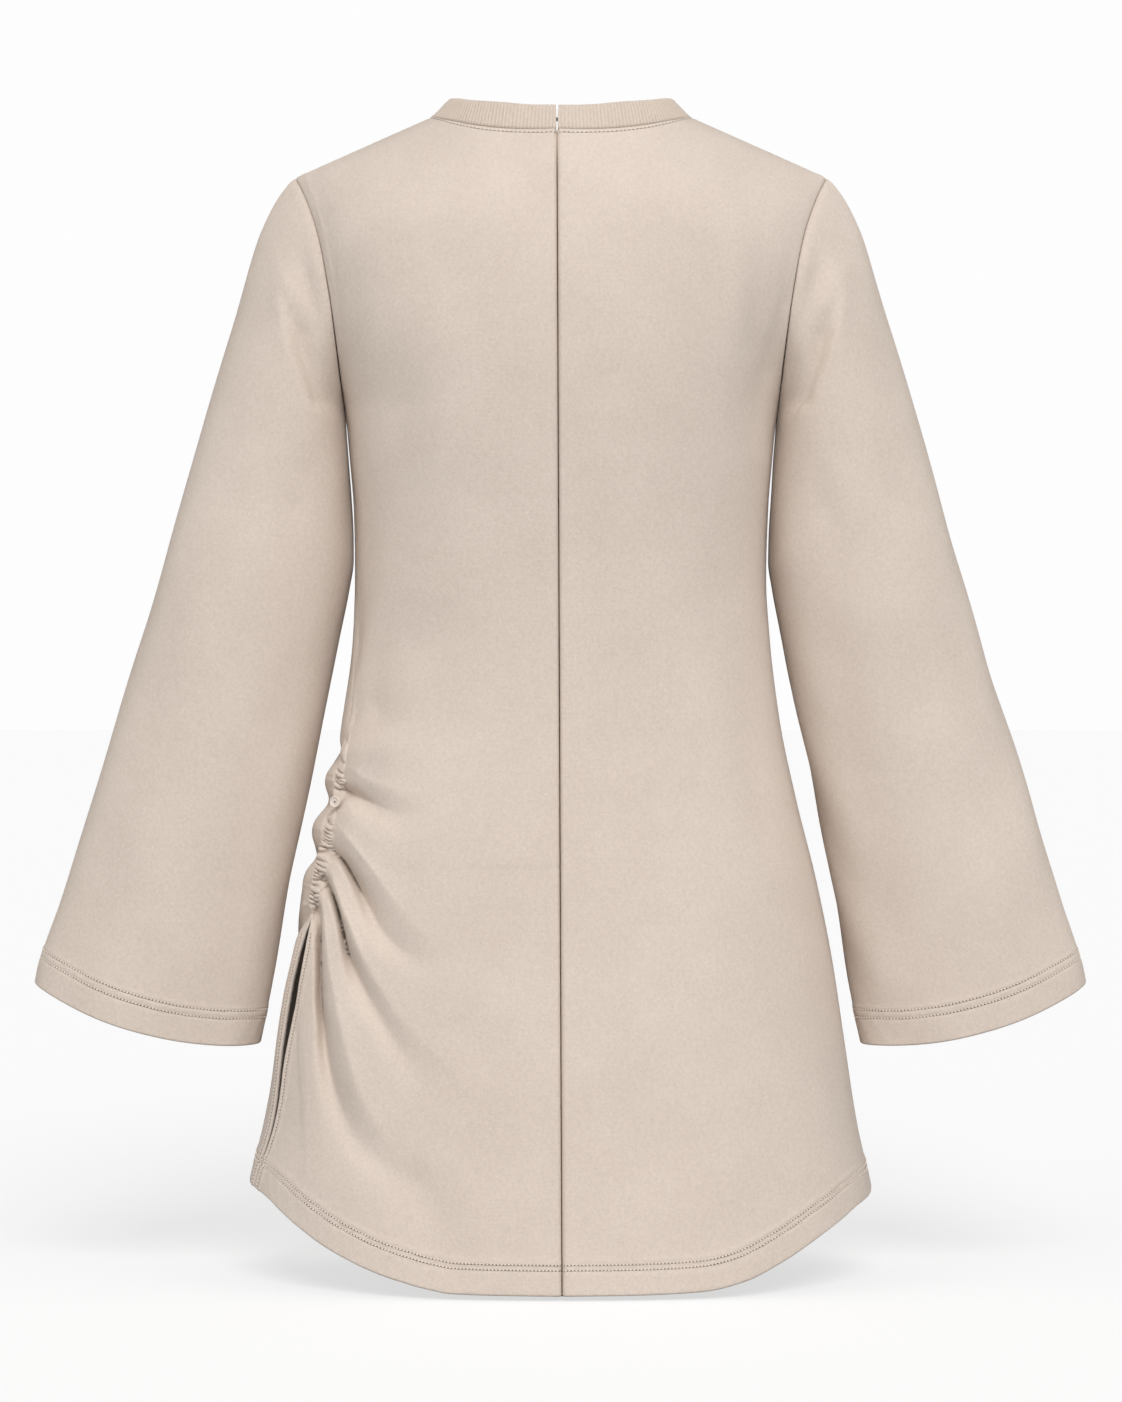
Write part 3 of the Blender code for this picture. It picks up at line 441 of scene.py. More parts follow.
# Cloth, seams and hems
CLOTH = 1.3
HEM_EXTRA = 0.9
HEM_LIFT = 0.5
HEM_ROUND = 0.75
STITCH_DENT = 0.75
BODY_HEM = 25.0
BODY_STITCHES = (18.5, 22.3)
CUFF_HEM = 28.0
CUFF_STITCHES = (20.5, 26.5)
NECK_STITCHES = 3.0
NECK_DENT = 0.4
SLIT_HEM = 8.0
SLIT_EXTRA = 0.7
SLIT_STITCHES = 4.0
SLIT_TOP_Z = -556.0
# The centre seam's groove, the raised lip on its left, the gap between the two panels outside,
# and how far their inner edges close that gap
CENTRE_DEPTH = 2.6
CENTRE_WIDTH = 0.42
CENTRE_LIP = 0.45
CENTRE_LIP_AT = 1.9
CENTRE_GAP = 0.85
CENTRE_MEET = 0.44
# How far the slit's standing edge and its inward shift reach into the panel
SLIT_STAND_REACH = 11.0
SLIT_IN_REACH = 8.0
# Where folds fade out: share of the panel at the centre seam, and distance from the side seams,
# from the gathers, where GATHER_CALM_SHARE of them goes, and below the shoulder seams
CENTRE_CALM = 0.14
SIDE_CALM = 14.0
GATHER_CALM = 9.0
GATHER_CALM_SHARE = 0.85
SHOULDER_CALM = 60.0
# Shares of the half-width between which the front's side folds come in
FRONT_SIDE_SHARES = (0.7, 0.93)
# Stitches, and the dark domes of painted shade that stand for the needle holes between them
STITCH_PITCH = 2.6
NECK_PITCH = 3.3
STITCH_LENGTH = 1.6
STITCH_SHARE = 0.6
STITCH_RADIUS = 0.48
STITCH_RISE = 1.15
STITCH_SIDES = 6
# Place along a stitch and share of its radius there
STITCH_RINGS = ((-0.5, 0.35), (-0.38, 0.85), (0.0, 1.0), (0.38, 0.85), (0.5, 0.35))
HOLE_SHADE_RADIUS = 0.62
HOLE_SHADE_RIM = 0.1
HOLE_SHADE_TOP = 0.35
# Stands for a distance that is too far to matter
FAR = 1000.0

# How finely the cloth is divided: columns from the middle to the neck's end and on to the side,
# and how much closer together they are near the side, of the back's left and right halves and of
# the front's
PANEL_COLUMNS = ((34, 102, 1.2), (34, 66), (34, 72, 1.2), (34, 42))
NECK_SHARE = 0.38
UPPER_ROWS = 84
# Columns and rows, counted from an edge, that can show its seam or hem
HEM_ROWS = 70
TOP_ROWS = 44
SIDE_COLUMNS = 26
ARM_COLUMNS = 40
NECK_MARGIN = 12
CUFF_ROWS = 60
SLEEVE_TOP_ROWS = 30
# The column of each back panel that lies at the centre seam
CENTRE_COLUMN = {"back_left": -1, "back_right": 0}

# Width and length in metres that each piece was cut to, all round on a sleeve and the collar
CUTS = {
    "back_left": (0.34, 0.89),
    "back_right": (0.31, 0.89),
    "front": (0.70, 0.88),
    "sleeve_left": (0.44, 0.67),
    "sleeve_right": (0.44, 0.67),
    "neck_rib": (0.50, 0.05),
    "side_gathers": (0.03, 0.24),
}

# Stage: the floor in metres, its tone and glow, the even light from all round, and the lamps
FLOOR_Z = -0.8235
FLOOR_REACH = 60.0
FLOOR_TONE = 0.35
FLOOR_GLOW = 0.655
DOME = 0.335
BACKGROUND_TONE = 0.985
# Name, strength, spread in degrees, and where it comes from
KEY_LIGHTS = (
    ("key", 2.06, 28.0, (0.10, -1.0, 0.80)),
    ("fill_left", 0.76, 46.0, (-1.0, -0.7, 0.26)),
    ("fill_right", 0.72, 46.0, (1.0, -0.7, 0.26)),
)


def unit(vectors):
    """Vectors scaled to length one."""
    lengths = np.linalg.norm(vectors, axis=-1, keepdims=True)
    return vectors / np.maximum(lengths, 1e-12)


def smoothstep(values, start, end):
    """0 before start, 1 after end, with a smooth rise between them."""
    share = np.clip((values - start) / (end - start), 0, 1)
    return share * share * (3 - 2 * share)


def curve(rows, at, column=1):
    """Smooth line through a table's rows, read at its first column; it never overshoots them."""
    table = np.array(sorted(rows), dtype=float)
    x, y = table[:, 0], table[:, column]
    step = np.diff(x)
    slope = np.diff(y) / step
    tangent = np.empty_like(y)
    tangent[0], tangent[-1] = slope[0], slope[-1]
    before, after = slope[:-1], slope[1:]
    same_way = before * after > 0
    total = np.where(same_way, before + after, 1.0)
    tangent[1:-1] = np.where(same_way, 2 * before * after / total, 0.0)
    at = np.clip(np.asarray(at, dtype=float), x[0], x[-1])
    k = np.clip(np.searchsorted(x, at) - 1, 0, len(step) - 1)
    h = step[k]
    t = (at - x[k]) / h
    return ((1 + 2 * t) * (1 - t) ** 2 * y[k] + t * (1 - t) ** 2 * h * tangent[k]
            + t * t * (3 - 2 * t) * y[k + 1] + t * t * (t - 1) * h * tangent[k + 1])


def spread(start, end, count, *crowds):
    """Places from start to end, closer together round each crowd of (centre, reach, amount)."""
    fine = np.linspace(start, end, 3000)
    density = np.ones_like(fine)
    for centre, reach, amount in crowds:
        density += amount * np.exp(-((fine - centre) / reach) ** 2)
    total = np.concatenate([[0], np.cumsum((density[1:] + density[:-1]) / 2)])
    return np.interp(np.linspace(0, total[-1], count + 1), total, fine)


def smooth_route(points, count=30):
    """A fold's route as a smooth run of points through its table's points."""
    points = np.array(points, dtype=float)
    share = np.linspace(0, 1, len(points))
    fine = np.linspace(0, 1, count)
    columns = [curve(list(zip(share, points[:, k])), fine) for k in range(points.shape[1])]
    return np.stack(columns, axis=1)


def nearest_on(path, place):
    """For places near a route: squared distance, share along it, and side (above 0 on its left)."""
    best = np.full(place.shape[:-1], FAR ** 2)
    share = np.zeros_like(best)
    side = np.zeros_like(best)
    for k, (start, end) in enumerate(zip(path[:-1], path[1:])):
        run = end - start
        offset = place - start
        along = np.clip((offset @ run) / max(run @ run, 1e-9), 0, 1)
        square = ((offset - along[..., None] * run) ** 2).sum(-1)
        nearer = square < best
        best = np.where(nearer, square, best)
        share = np.where(nearer, (k + along) / (len(path) - 1), share)
        side = np.where(nearer, run[0] * offset[..., 1] - run[1] * offset[..., 0], side)
    return best, share, side


def along_route(share, values):
    """Values spread evenly along a route, read at shares of it."""
    return np.interp(share, np.linspace(0, 1, len(values)), values)


def fold_height(folds, across, z):
    """How far the ridges and troughs of a table lift the cloth at places (across, z)."""
    place = np.stack([across, z], axis=-1)
    lift = np.zeros(place.shape[:-1])
    for route, widths, heights, lean in folds:
        square, share, above = nearest_on(smooth_route(route), place)
        width = along_route(share, widths) * (1 - lean * np.tanh(above / LEAN_REACH))
        lift += along_route(share, heights) * np.exp(-square / width ** 2)
    return lift


def slow_waves(across, z, seed, amount, shortest=70.0, longest=190.0):
    """A faint unevenness of cloth: a few long waves in seeded directions."""
    rng = np.random.default_rng(seed)
    total = np.zeros(np.broadcast(across, z).shape)
    waves = 7
    for _ in range(waves):
        turn = rng.uniform(0, math.pi)
        length = rng.uniform(shortest, longest)
        phase = rng.uniform(0, 2 * math.pi)
        run = across * math.cos(turn) + z * math.sin(turn)
        total += np.sin(2 * math.pi * run / length + phase)
    return total * amount / math.sqrt(waves)


def shoulder_line(x):
    """Height of the shoulder seam at a distance from the middle."""
    slope = NECK_Z / (SHOULDER_X - NECK_X)
    return (SHOULDER_X - np.abs(x)) * slope


def body_depth(side, x, z):
    """Distance of the body's surface behind or before the shoulder plane at (x, z)."""
    half_width = curve(BODY_FORM, z, 1)
    depth = curve(BODY_FORM, z, 2 if side == BACK else 3)
    round_height = BACK_SHOULDER_ROUND if side == BACK else FRONT_SHOULDER_ROUND
    share = np.clip(np.abs(x) / half_width, 0, 1)
    section = (1 - share ** SECTION_POWER) ** (1 / SECTION_POWER)
    below = np.clip((shoulder_line(x) - z) / round_height, 0, 1)
    return depth * section * np.sqrt(1 - (1 - below) ** 2)


def outward(side, x, y, z):
    """Horizontal direction out of the body's surface."""
    half_width = curve(BODY_FORM, z, 1)
    depth = curve(BODY_FORM, z, 2 if side == BACK else 3)
    power = SECTION_POWER - 1
    across = np.sign(x) * np.clip(np.abs(x) / half_width, 0, 1) ** power / half_width
    deep = side * np.clip(np.abs(y) / depth, 0, 1) ** power / depth
    return unit(np.stack([across, deep, np.zeros_like(across)], axis=-1))


def column_shares(neck_count, shoulder_count, side_crowd=0.0):
    """Shares from the middle to the side, with a column where the neckline meets the shoulder."""
    neck = spread(0, NECK_SHARE, neck_count, (0, 0.012, 4))
    crowds = [(1, 0.012, 4)]
    if side_crowd:
        crowds.append((1, 0.3, side_crowd))
    return np.concatenate([neck, spread(NECK_SHARE, 1, shoulder_count, *crowds)[1:]])


def row_heights(count, gather_crowd):
    """Heights of the side seam's rows from the hem to the underarm.

    One in the middle is dropped where the whole grid would otherwise have an even number of rows.
    """
    rows = spread(SIDE_HEM_Z, UNDERARM_Z, count, (SIDE_HEM_Z, 3, 4), (SIDE_HEM_Z + 18, 9, 1.2),
                  (-490, 95, gather_crowd), (UNDERARM_Z, 6, 1))
    return rows if (len(rows) + UPPER_ROWS) % 2 else np.delete(rows, len(rows) // 2)


LEFT_ROWS = row_heights(330, 1.6)
RIGHT_ROWS = row_heights(236, 0.0)


def top_edge(side, share):
    """Neckline and then shoulder seam, as distance from the middle and height."""
    neck = np.clip(share / NECK_SHARE, 0, 1)
    neck_x = NECK_X * np.sin(neck * math.pi / 2) ** 0.9
    if side == BACK:
        neck_z = BACK_NECK_Z + (NECK_Z - BACK_NECK_Z) * (neck_x / NECK_X) ** BACK_NECK_POWER
    else:
        neck_z = FRONT_NECK_Z + (NECK_Z - FRONT_NECK_Z) * (neck_x / NECK_X) ** FRONT_NECK_POWER
    shoulder = np.clip((share - NECK_SHARE) / (1 - NECK_SHARE), 0, 1)
    shoulder_x = NECK_X + (SHOULDER_X - NECK_X) * shoulder
    on_neck = share <= NECK_SHARE
    x = np.where(on_neck, neck_x, shoulder_x)
    z = np.where(on_neck, neck_z, shoulder_line(shoulder_x))
    return x, z


def lower_half(side, hand, share, rows):
    """Rows from hem to underarm of a half panel, as x, y, z arrays of (column, row)."""
    if hand == LEFT:
        seam_angle = curve(LEFT_SEAM, rows)
    else:
        seam_angle = np.full_like(rows, 90.0)
    reach = seam_angle if side == BACK else 180.0 - seam_angle
    angle = np.radians(share[:, None] * reach[None, :])
    bend = (rows - UNDERARM_Z) / (SIDE_HEM_Z - UNDERARM_Z)
    drop = curve(HEM_CURVE, np.minimum(np.degrees(angle), 90))
    z = rows[None, :] - HEM_DROP * drop * bend[None, :] ** 5
    half_width = curve(BODY_FORM, z, 1)
    x = half_width * np.sin(angle) ** (2 / SECTION_POWER)
    past_side = np.cos(angle) < 0
    y = side * body_depth(side, x, z)
    y = np.where(past_side, -side * body_depth(-side, x, z), y)
    return x, y, z


def upper_half(side, share, rise, base_x):
    """Rows from underarm to neck and shoulder of a half panel."""
    top_x, top_z = top_edge(side, share)
    x = base_x[:, None] + (top_x - base_x)[:, None] * rise[None, :]
    z = UNDERARM_Z + (top_z - UNDERARM_Z)[:, None] * rise[None, :]
    edge_z = UNDERARM_Z * (1 - rise)
    edge_x = curve(ARMHOLE, edge_z)
    chord_x = x[-1].copy()
    x = x + (edge_x - chord_x)[None, :] * share[:, None] ** 3
    y = side * body_depth(side, x, z)
    return x, y, z


def pucker_height(count):
    """Height on the seam where a count of puckers is reached."""
    return curve([(counted, height) for height, counted in PUCKERS], count)


def seam_puckers(points, from_edge, seed):
    """Small creases that run a short way from the gathered seam into a panel."""
    z = points[..., 2]
    rng = np.random.default_rng(seed)
    lift = np.zeros(z.shape)
    for k in range(PUCKER_COUNT):
        pitch = float(pucker_height(k) - pucker_height(k + 1))
        reach = rng.uniform(6, 13)
        height = rng.uniform(0.6, 1.5) * min(pitch / 4.0, 1.0)
        middle = float(pucker_height(k + 0.5)) - rng.uniform(0.1, 0.5) * from_edge
        across = np.exp(-((z - middle) / (pitch * 0.42)) ** 2)
        lift += height * across * np.exp(-(from_edge / reach) ** 2)
    return lift


def seen(points):
    """Picture points as (across, z) in mm on the shoulder plane, as the camera sees it."""
    left, top = PICTURE_ORIGIN
    return [((x - left) * PICTURE_POINT, (top - y) * PICTURE_POINT) for x, y in points]


def side_distance(place, points):
    """Distance to a fold's line, positive on its upper or right side, and the share along it."""
    square, share, side = nearest_on(smooth_route(seen(points)), place)
    return np.where(side >= 0, 1.0, -1.0) * np.sqrt(square), share


def sharp_fold_height(points):
    """How far the sharp folds bring the cloth towards the camera."""
    nearer = CAMERA_MM / (CAMERA_MM + points[..., 1])
    eye = CAMERA_Z / MM
    place = np.stack([points[..., 0] * nearer, eye + (points[..., 2] - eye) * nearer], axis=-1)
    lift = np.zeros(points.shape[:-1])
    for core, crest, depths, heights, near_width, fade in SHARP_FOLDS:
        low, low_share = side_distance(place, core)
        top, top_share = side_distance(place, crest)
        depth = along_route(low_share, depths)
        height = along_route(top_share, heights)
        # Steep out of the trough, then an easier face up to the crest
        climb = np.clip(low / np.maximum(low - top, 1e-6), 0, 1)
        steep = STEEP_SHARE * (1 - (1 - climb) ** STEEPNESS) + (1 - STEEP_SHARE) * climb
        sharp = (depth / max(depths)) ** STEEP_FADE
        climb = sharp * steep + (1 - sharp) * smoothstep(climb, 0, 1)
        wall = -depth + (depth + height) * climb
        reach = near_width * (1 + NEAR_SOFTENING * (1 - depth / max(depths)) ** SOFTENING_POWER)
        near_side = -depth * np.exp(-(np.minimum(low, 0) / reach) ** 2)
        far_side = height * np.exp(-np.maximum(top, 0) / fade)
        lift += np.where(low <= 0, near_side, np.where(top >= 0, far_side, wall))
    return lift


def half_panel(side, hand, share, rows, rise, folds, seed):
    """One half of the back or front, as points (column from the middle, row from the hem)."""
    x, y, z = lower_half(side, hand, share, rows)
    ux, uy, uz = upper_half(side, share, rise, x[:, -1])
    x = np.concatenate([x, ux], axis=1) * hand
    y = np.concatenate([y, uy], axis=1)
    z = np.concatenate([z, uz], axis=1)
    way = np.where((y < 0)[..., None], outward(BACK, x, y, z), outward(FRONT, x, y, z))
    lift = fold_height(folds, x, z)
    if side == FRONT and hand == LEFT:
        near_side = smoothstep(np.abs(x) / curve(BODY_FORM, z, 1), *FRONT_SIDE_SHARES)
        lift = lift + fold_height(FRONT_SIDE_FOLDS, y, z) * near_side
    lift += slow_waves(x, z, seed, BODY_WAVES)
    if side == BACK:
        fall = (BACK_NECK_Z - z) / (BACK_NECK_Z - CENTRE_HEM_Z)
        seam_x = CENTRE_SEAM_TOP_X + (CENTRE_SEAM_HEM_X - CENTRE_SEAM_TOP_X) * fall
        x = x + seam_x * np.clip(1 - share[:, None] / NECK_SHARE, 0, 1) ** 2
        x = x + hand * CENTRE_GAP / 2 * np.exp(-share[:, None] / 0.02)
        lift = lift * smoothstep(share, 0, CENTRE_CALM)[:, None]
    from_edge = (1 - share)[:, None] * sum_width(x, y)
    points = np.stack([x, y, z], axis=-1)
    if hand == LEFT:
        held = smoothstep(z, GATHER_END_Z - 30.0, GATHER_END_Z + 6.0)
        calm = 1 - held * GATHER_CALM_SHARE * (1 - smoothstep(from_edge, 0.0, GATHER_CALM))
        lift = lift * calm
        lift += seam_puckers(points, from_edge, seed + 1)
        if side == BACK:
            points[..., 1] -= sharp_fold_height(points) * calm
    else:
        lift = lift * smoothstep(from_edge, 0.0, SIDE_CALM)
    still = smoothstep(shoulder_line(x) - z, 0.0, SHOULDER_CALM)
    return points + way * (lift * still)[..., None]


def sum_width(x, y):
    """Length of each row of a panel, from its middle to its side."""
    steps = np.hypot(np.diff(x, axis=0), np.diff(y, axis=0))
    return steps.sum(axis=0)[None, :]


def grid_normals(points, closed=False):
    """Directions out of a grid's surface, with the columns run from left to right behind it."""
    if closed:
        across = np.roll(points, -1, axis=0) - np.roll(points, 1, axis=0)
    else:
        across = np.gradient(points, axis=0)
    up = np.gradient(points, axis=1)
    return unit(np.cross(across, up))


def near(grid, columns=slice(None), rows=slice(None)):
    """Which points of a grid lie in a block of its columns and rows."""
    chosen = np.zeros(grid.shape[:2], dtype=bool)
    chosen[columns, rows] = True
    return chosen


def distance_to_line(points, line, chosen):
    """Distance of a grid's points to a line, worked out only for the chosen ones."""
    away = np.full(points.shape[:2], FAR)
    away[chosen] = np.sqrt(nearest_on(line, points[chosen])[0])
    return away


def seam_profile(distance, run, depth=0.55, width=0.6):
    """A seam's groove, with the seam allowance pressed flat under the cloth beside it."""
    groove = -depth * np.exp(-(distance / width) ** 2)
    allowance = 0.28 * smoothstep(distance, 0.8, 2.6) * (1 - smoothstep(distance, 7.0, 10.0))
    tug = 0.12 * np.sin(run / 1.15 + 1.7 * np.sin(run / 9.0)) * np.exp(-(distance / 3.5) ** 2)
    return groove + allowance + tug


def hem_profile(distance, depth, rows, run):
    """A turned-up hem: a rounded edge, doubled cloth, and the dents of its rows of stitches."""
    inside = 1 - smoothstep(distance, depth, depth + 2.0)
    lift = HEM_LIFT * inside - HEM_ROUND * np.clip(1 - distance / CLOTH, 0, 1) ** 2
    for row in rows:
        lift -= STITCH_DENT * np.exp(-((distance - row) / 0.85) ** 2)
    roping = np.sin((run + 0.5 * distance) / 1.9 + 1.3 * np.sin(run / 13.0))
    return lift + 0.1 * roping * inside * smoothstep(distance, 1.0, 6.0)


def edge_run(line):
    """Length along a line at each of its points."""
    return np.concatenate([[0], np.cumsum(np.linalg.norm(np.diff(line, axis=0), axis=1))])


def arcs(points, axis):
    """Lengths along a grid's lines."""
    steps = np.linalg.norm(np.diff(points, axis=axis), axis=-1)
    start = np.zeros_like(np.take(steps, [0], axis=axis))
    return np.cumsum(np.concatenate([start, steps], axis=axis), axis=axis)


def make_object(name, vertices, faces, materials, uv=None, slots=None):
    """One mesh object from points in millimetres and lists of faces."""
    mesh = bpy.data.meshes.new(name)
    mesh.from_pydata((np.asarray(vertices) * MM).tolist(), [], faces)
    for made in materials:
        mesh.materials.append(made)
    if slots is not None:
        mesh.polygons.foreach_set("material_index", slots)
    if uv is not None:
        layer = mesh.uv_layers.new(name="cloth")
        corner = np.empty(len(mesh.loops), dtype=np.int32)
        mesh.loops.foreach_get("vertex_index", corner)
        layer.data.foreach_set("uv", (np.asarray(uv)[corner] * MM).ravel())
    mesh.shade_smooth()
    mesh.validate()
    made = bpy.data.objects.new(name, mesh)
    bpy.context.scene.collection.objects.link(made)
    return made


def grid_faces(columns, rows, start, closed, flip):
    """Quads over a grid of points that begins at index start."""
    a = np.arange(columns if closed else columns - 1)
    b = (a + 1) % columns
    j = np.arange(rows - 1)
    a, b = start + a[:, None] * rows + j, start + b[:, None] * rows + j
    quads = np.stack([a, b, b + 1, a + 1], axis=-1).reshape(-1, 4)
    return quads[:, ::-1] if flip else quads


def shell(name, outer, normals, thickness, materials, closed=False):
    """A sheet of cloth: a fine outer grid, an inner grid half as fine, and the rims between."""
    columns, rows = outer.shape[:2]
    inner = (outer - normals * thickness[..., None])[::2, ::2]
    inner_columns, inner_rows = inner.shape[:2]
    vertices = np.concatenate([outer.reshape(-1, 3), inner.reshape(-1, 3)])
    across, up = arcs(outer, 0), arcs(outer, 1)
    uv = np.stack([across, up], axis=-1)
    uv = np.concatenate([uv.reshape(-1, 2), uv[::2, ::2].reshape(-1, 2)])
    behind = columns * rows
    faces = grid_faces(columns, rows, 0, closed, False).tolist()
    faces += grid_faces(inner_columns, inner_rows, behind, closed, True).tolist()

    def rim(fine, coarse, flip):
        """Joins a fine edge to the coarse one behind it."""
        for k in range(len(coarse) - 1):
            face = [fine[2 * k], fine[2 * k + 1], fine[2 * k + 2], coarse[k + 1], coarse[k]]
            faces.append(face if flip else face[::-1])

    for row, inner_row, flip in ((0, 0, False), (rows - 1, inner_rows - 1, True)):
        fine = [i * rows + row for i in range(columns)]
        coarse = [behind + i * inner_rows + inner_row for i in range(inner_columns)]
        if closed:
            fine.append(fine[0])
            coarse.append(coarse[0])
        rim(fine, coarse, flip)
    if not closed:
        for column, inner_column, flip in ((0, 0, True), (columns - 1, inner_columns - 1, False)):
            fine = [column * rows + j for j in range(rows)]
            coarse = [behind + inner_column * inner_rows + j for j in range(inner_rows)]
            rim(fine, coarse, flip)
    return make_object(name, vertices, faces, materials, uv)


def level_line(points, normals, field, level):
    """Where a field first reaches a level in each line of a grid that starts at its edge."""
    places, ways = [], []
    for line, way, values in zip(points, normals, field):
        k = int(np.argmax(values >= level))
        if k == 0:
            continue
        share = (level - values[k - 1]) / (values[k] - values[k - 1])
        places.append(line[k - 1] + (line[k] - line[k - 1]) * share)
        ways.append(way[k - 1] + (way[k] - way[k - 1]) * share)
    return np.array(places), unit(np.array(ways))


def tube_faces(start, rings, sides):
    """Faces of a tube through rings of points that begin at index start, and its two ends."""
    tube = []
    for ring in range(start, start + (rings - 1) * sides, sides):
        for side in range(sides):
            after = (side + 1) % sides
            tube.append((ring + side, ring + after, ring + sides + after, ring + sides + side))
    last = start + (rings - 1) * sides
    return tube, [tuple(range(start + sides - 1, start - 1, -1)), tuple(range(last, last + sides))]


def stitch_mesh(routes, seed, pitch=STITCH_PITCH, length=STITCH_LENGTH):
    """Small rounded stitches at an even pitch along routes of (points, directions out), each followed by
    a dark dome of painted shade for a needle hole.
    """
    rng = np.random.default_rng(seed)
    sides = STITCH_SIDES
    vertices, faces, slots = [], [], []
    turns = [2 * math.pi * side / sides for side in range(sides)]
    for points, ways in routes:
        run = edge_run(points)
        places = np.arange(pitch / 2, run[-1], pitch)
        spot, ahead, behind = (resample(points, run, places + step) for step in (0, 0.5, -0.5))
        way = unit(resample(ways, run, places))
        along = unit(ahead - behind)
        across = unit(np.cross(way, along))
        along = unit(along + across * rng.normal(0, 0.05, len(spot))[:, None])
        across = unit(np.cross(way, along))
        size = rng.uniform(0.92, 1.08, len(spot))
        for k in range(len(spot)):
            start = len(vertices)
            for place, share in STITCH_RINGS:
                middle = spot[k] + along[k] * place * length * size[k]
                middle = middle + way[k] * (STITCH_RISE - 0.9 * place * place) * STITCH_RADIUS
                for turn in turns:
                    step = across[k] * math.cos(turn) + way[k] * math.sin(turn)
                    vertices.append(middle + step * STITCH_RADIUS * share)
            tube, ends = tube_faces(start, len(STITCH_RINGS), sides)
            faces += tube + ends
            # Painted shade of the needle hole between this stitch and the next: a low dark dome
            middle = spot[k] + along[k] * pitch / 2
            hole_shade = len(vertices)
            for turn in turns:
                step = along[k] * math.cos(turn) + across[k] * math.sin(turn)
                vertices.append(middle + step * HOLE_SHADE_RADIUS + way[k] * HOLE_SHADE_RIM)
            vertices.append(middle + way[k] * HOLE_SHADE_TOP)
            faces += [(hole_shade + side, hole_shade + (side + 1) % sides, hole_shade + sides) for side in range(sides)]
            faces.append(tuple(range(hole_shade + sides - 1, hole_shade - 1, -1)))
            slots += [0] * (len(tube) + 2) + [1] * (sides + 1)
    return vertices, faces, slots


def sleeve_outline(hand, share):
    """Inner and outer outline points of a sleeve at shares of its length."""
    inner_z = UNDERARM_Z + (CUFF_INNER_Z - UNDERARM_Z) * share
    outer_z = CUFF_OUTER_Z * (share + OUTER_LEAD * share * (1 - share) ** 1.5)
    inner = np.stack([hand * curve(SLEEVE_INNER, inner_z), np.zeros_like(share), inner_z], -1)
    outer = np.stack([hand * curve(SLEEVE_OUTER, outer_z), np.zeros_like(share), outer_z], -1)
    return inner, outer


def sleeve_points(hand, loop, share, turn, seed):
    """A sleeve as points (place round the ring, ring): turn 0 is the underarm, then the back."""
    inner, outer = sleeve_outline(hand, share)
    centre = (inner + outer) / 2
    half = (outer - inner) / 2
    depth = curve(SLEEVE_DEPTH, share)
    power = 2 / SLEEVE_POWER
    cosine, sine = np.cos(turn), np.sin(turn)
    along = -np.sign(cosine) * np.abs(cosine) ** power
    deep = -np.sign(sine) * np.abs(sine) ** power
    flutes = np.zeros((len(turn), len(share)))
    for place, width, height in SLEEVE_FLUTES:
        distance = (turn / (2 * math.pi) - place)[:, None] / width
        flutes += height * np.exp(-distance ** 2) * np.clip(share * 2.5, 0, 1)[None, :]
    points = centre[None] + along[:, None, None] * half[None]
    points[..., 1] += deep[:, None] * depth[None, :] + flutes * np.sign(deep)[:, None]
    points[..., 2] -= CUFF_BOW * (sine ** 2)[:, None] * share[None, :] ** 4
    keep = np.clip(1 - share / ARMHOLE_FADE, 0, 1) ** 2
    points = points + keep[None, :, None] * (loop - points[:, 0])[:, None, :]
    lift = fold_height(SLEEVE_FOLDS, np.abs(points[..., 0]), points[..., 2])
    lift = lift * smoothstep(np.abs(sine), 0.0, 0.35)[:, None]
    # The waves of the sleeve's back and front differ
    shifted_z = points[..., 2] + SLEEVE_WAVE_SHIFT * sine[:, None]
    lift += slow_waves(points[..., 0], shifted_z, seed, SLEEVE_WAVES)
    lift *= smoothstep(share, 0.0, 0.03)[None, :]
    normals = -hand * grid_normals(points, closed=True)
    return points + normals * lift[..., None]


def rib_directions(points):
    """Up along the collar, out of it, and its height at points of the neckline."""
    depth = np.where(points[:, 1] < 0, BACK_NECK_DEPTH, FRONT_NECK_DEPTH)
    level = np.stack([points[:, 0] / NECK_X ** 2, points[:, 1] / depth ** 2,
                      np.zeros(len(points))], axis=-1)
    angle = np.degrees(np.arctan2(np.abs(points[:, 0]) / NECK_X, -points[:, 1] / depth))
    inwards = -unit(level) * curve(COLLAR, angle, 1)[:, None]
    upwards = UP * curve(COLLAR, angle, 2)[:, None]
    height = np.linalg.norm(inwards + upwards, axis=1, keepdims=True)
    face = (UP * np.linalg.norm(inwards, axis=1, keepdims=True)
            - unit(inwards) * np.linalg.norm(upwards, axis=1, keepdims=True))
    return (inwards + upwards) / height, face / height, height


def resample(values, places, at):
    """Values given at places along a line, read by straight lines at other places."""
    return np.stack([np.interp(at, places, values[:, k]) for k in range(values.shape[1])], axis=1)


def even_out(ways, times):
    """Smooths a line of directions in place."""
    for _ in range(times):
        ways[1:-1] = unit(ways[:-2] + 2 * ways[1:-1] + ways[2:])


